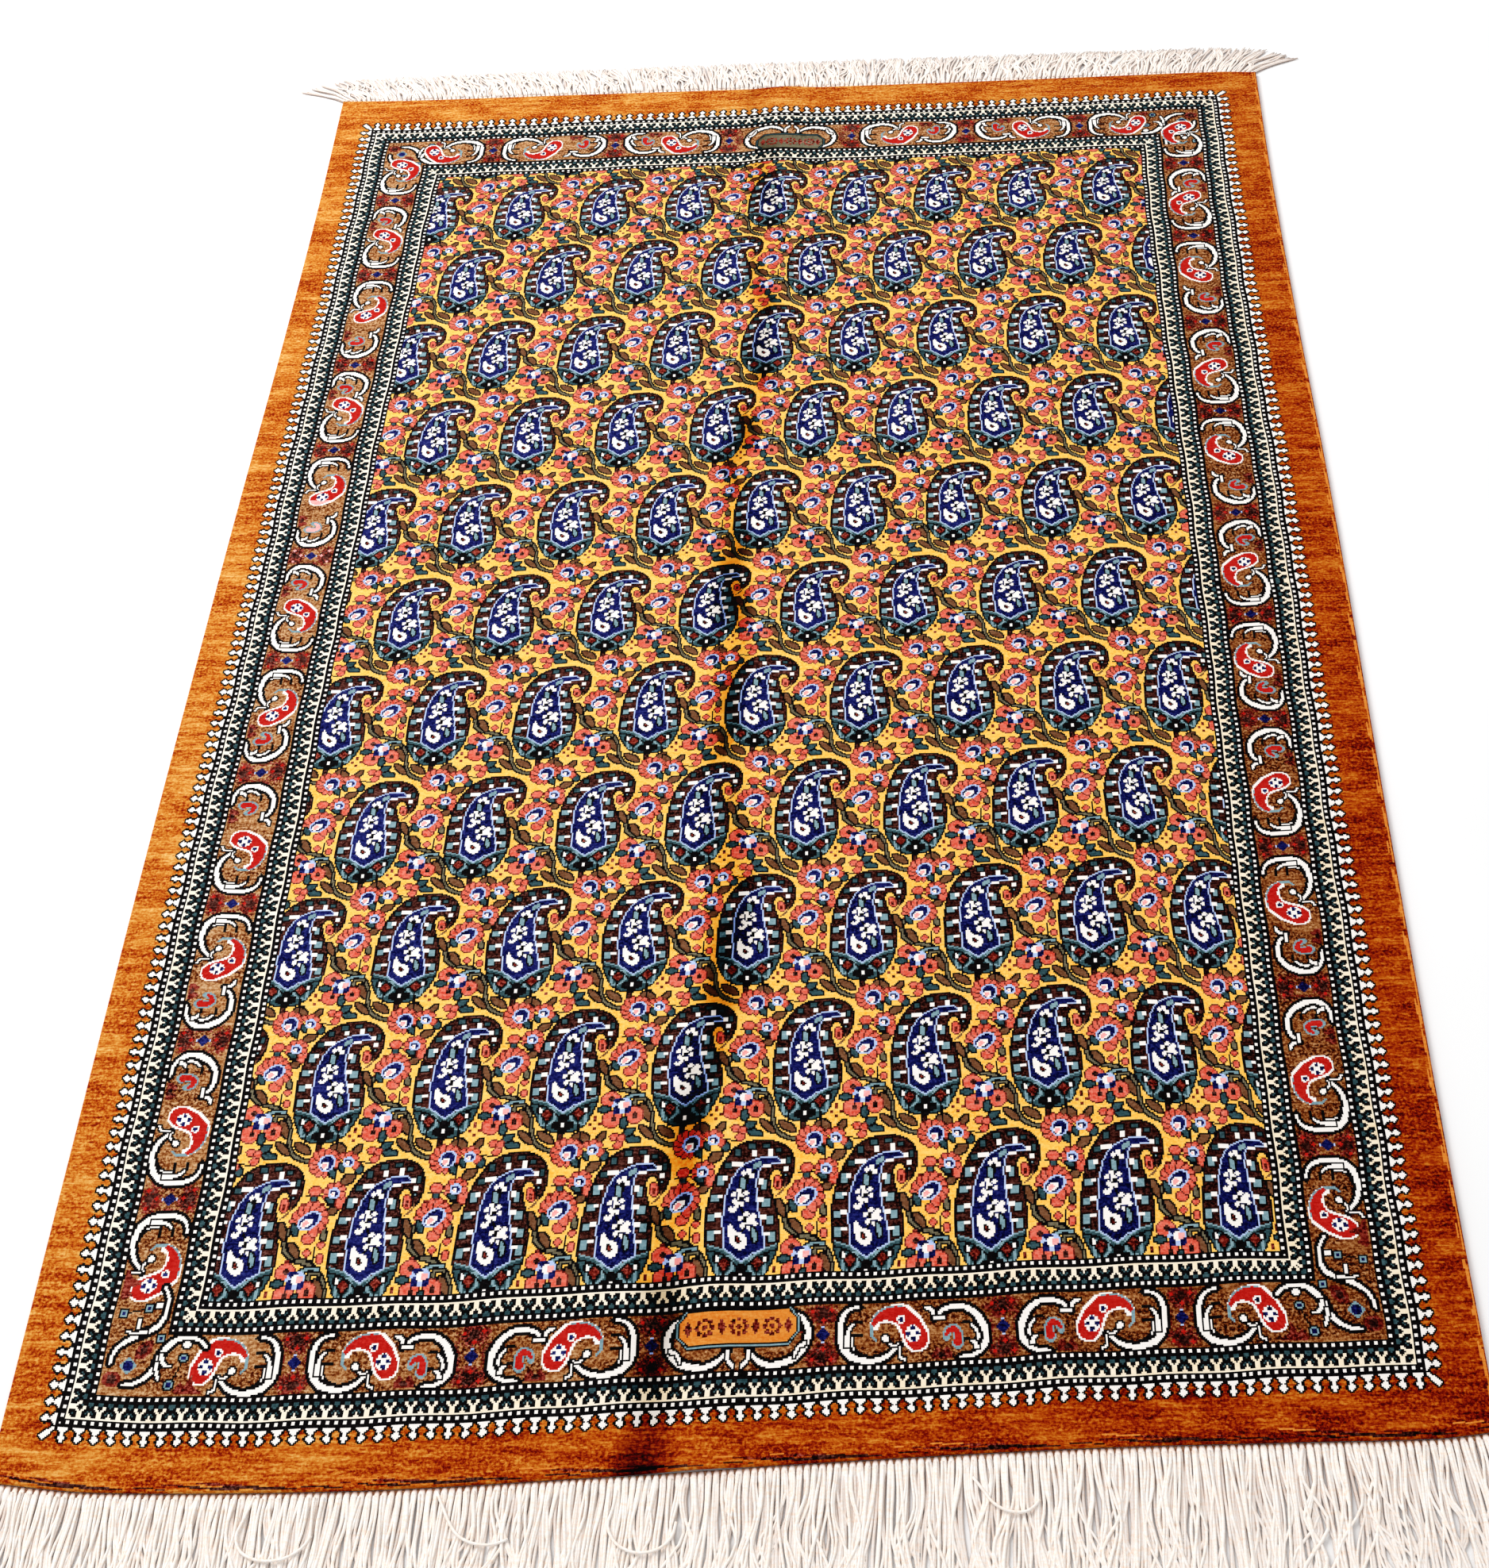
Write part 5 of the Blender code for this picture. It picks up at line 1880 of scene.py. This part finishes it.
def make_rolls(name, end, outward, reach):
    """The rolls of an end: the column of its lean, its direction, and how far they reach."""
    across = bundle_share(np.arange(BUNDLES))
    share = np.linspace(0, 1, ROLL_STEPS)
    size = chance.uniform(0.85, 1.12, BUNDLES)
    height = chance.uniform(0.8, 1.15, BUNDLES)
    wander = chance.uniform(-0.0009, 0.0009, BUNDLES)
    paths = np.zeros((BUNDLES, ROLL_STEPS, 3))
    for step, part in enumerate(share):
        out = ROLL_START + part * reach
        x, y = warp_path(across, end, outward, out, wander * part)
        rise = np.sin(math.pi * min(part * 2.0, 1))
        middle = (0.0010 + 0.0011 * rise * height) * (1 - 0.2 * part)
        paths[:, step] = np.column_stack([x, y, middle])
    widths = np.interp(share, ROLL_SHARES, ROLL_WIDTHS)[None] * size[:, None]
    heights = np.interp(share, ROLL_SHARES, ROLL_HEIGHTS)[None] * height[:, None]
    return tube_mesh(name, paths, widths, heights, ROLL_SIDES, ivory_warp)


rolls_near = make_rolls("bundles_near", 1, -1, NEAR_ROLLS)
rolls_far = make_rolls("bundles_far", 2, 1, FAR_ROLLS)
print("roll faces:", len(rolls_near.data.polygons))

# %% [markdown]
# The single yarns. Five come out of each bundle: two thick ones that lie low, and three finer ones on
# top. Each has its own length, lean and slow waves, but shares a part of them with its bundle. The
# numbers come from one seeded generator, so that every run gives the same fringe.

# %% The single yarns
YARNS, UNDER_YARNS = 5, 2
YARN_SIDES = 6
YARN_START = 0.004
DRIFT, BUNDLE_SWAY, YARN_SWAY = 0.0042, 0.0034, 0.0022
UNDER_LEVEL, TOP_LEVELS = 0.0008, (0.0014, 0.0034)
UNDER_THICK, TOP_THICK = 0.0026, (0.0019, 0.0025)
FLATNESS = 0.72


def make_yarns(name, end, outward, first, last, length, steps):
    """The yarns of the bundles from first to last."""
    bundles = np.repeat(np.arange(first, last), YARNS)
    number = np.tile(np.arange(YARNS), last - first)
    count = len(bundles)
    across = bundle_share(bundles)
    under = number < UNDER_YARNS
    spread = np.where(under, (number - 0.5) * 0.0025, (number - 3) * 0.0013)
    stiff = np.where(under, 0.3, 1)
    bundle_drift = np.repeat(chance.normal(0, DRIFT, last - first), YARNS)
    drift = bundle_drift * stiff + chance.normal(0, DRIFT, count) * stiff
    bundle_sway = np.repeat(chance.normal(0, BUNDLE_SWAY, last - first), YARNS)
    sway = (bundle_sway + chance.normal(0, YARN_SWAY, count)) * np.where(under, 0.6, 1)
    bundle_phase = np.repeat(chance.uniform(0, 2 * math.pi, last - first), YARNS)
    phase = bundle_phase + chance.uniform(-0.7, 0.7, count)
    bends = np.repeat(chance.uniform(4.5, 10.0, last - first), YARNS) + chance.normal(0, 1.0, count)
    own_length = length * chance.uniform(0.92, 1.0, count)
    level = np.where(under, UNDER_LEVEL, chance.uniform(*TOP_LEVELS, count))
    thick = np.where(under, UNDER_THICK, chance.uniform(*TOP_THICK, count))
    share = np.linspace(0, 1, steps)
    paths = np.zeros((count, steps, 3))
    for step, part in enumerate(share):
        out = YARN_START + part * (own_length - YARN_START)
        wave = sway * np.sin(phase + bends * part) * min(2 * part, 1)
        wander = spread * (0.8 + 0.7 * part) + drift * part**1.3 + wave
        x, y = warp_path(across, end, outward, out, wander)
        z = level * (1 - 0.5 * part) + 0.0003 * np.sin(phase * 2 + 9 * part)
        paths[:, step] = np.column_stack([x, y, np.maximum(z, thick * FLATNESS / 2)])
    taper = np.interp(share, (0, 0.9, 1), (1, 0.95, 0.5))
    widths = thick[:, None] * taper[None]
    return tube_mesh(name, paths, widths, widths * FLATNESS, YARN_SIDES, ivory_warp)


print("yarns in both fringes:", 2 * BUNDLES * YARNS)

# %% [markdown]
# The loose yarns. In four places at the near end a yarn curls over the others in an open hook. They are
# few and easily seen, so each has points of its own.

# %% The loose yarns
STRAY_LEVEL, STRAY_RISE, STRAY_THICK = 0.0044, 0.0008, 0.0021
STRAYS = (
    # places (x, y) along each, in metres
    ((-0.3200, -0.7420), (-0.3249, -0.7585), (-0.3272, -0.7685), (-0.3224, -0.7781), (-0.3101, -0.7836),
     (-0.2949, -0.7827), (-0.2838, -0.7758), (-0.2789, -0.7678)),
    ((-0.0840, -0.7400), (-0.0859, -0.7520), (-0.0882, -0.7630), (-0.0823, -0.7740), (-0.0698, -0.7800),
     (-0.0558, -0.7781), (-0.0471, -0.7703), (-0.0446, -0.7603)),
    ((-0.2010, -0.7400), (-0.1946, -0.7527), (-0.1900, -0.7610), (-0.1846, -0.7679), (-0.1770, -0.7725),
     (-0.1675, -0.7745), (-0.1590, -0.7735), (-0.1516, -0.7706)),
    ((0.1450, -0.7330), (0.1519, -0.7425), (0.1565, -0.7490), (0.1626, -0.7536), (0.1700, -0.7560),
     (0.1775, -0.7557), (0.1830, -0.7525), (0.1870, -0.7478)),
)


def make_strays():
    """The loose yarns, which rise and fall a little over the others."""
    paths = []
    for stray in STRAYS:
        flat = smooth(stray, closed=False, steps=3)
        level = STRAY_LEVEL - STRAY_RISE * np.cos(np.linspace(0, 6, len(flat)))
        paths.append(np.column_stack([flat, level]))
    paths = np.array(paths)
    widths = np.full(paths.shape[:2], STRAY_THICK)
    return tube_mesh("strays_near", paths, widths, widths * 0.8, YARN_SIDES, ivory_warp)


strays = make_strays()
print("loose yarn faces:", len(strays.data.polygons))

# %% [markdown]
# Both fringes. Each is made in three stretches, and with its heading and rolls it stands for the fringe
# that was packed as a solid.

# %% Both fringes
STRETCHES = 3
NEAR_YARNS, FAR_YARNS = (0.104, 14), (0.054, 9)
yarn_pieces = []
for stretch in range(STRETCHES):
    first, last = round(BUNDLES * stretch / STRETCHES), round(BUNDLES * (stretch + 1) / STRETCHES)
    yarn_pieces.append(make_yarns(f"yarns_near_{stretch}", 1, -1, first, last, *NEAR_YARNS))
    yarn_pieces.append(make_yarns(f"yarns_far_{stretch}", 2, 1, first, last, *FAR_YARNS))
for piece in (heading_near, rolls_near, strays, *yarn_pieces[::2]):
    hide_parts("fringe_near")
for piece in (heading_far, rolls_far, *yarn_pieces[1::2]):
    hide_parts("fringe_far")
print("yarn faces:", sum(len(piece.data.polygons) for piece in yarn_pieces))
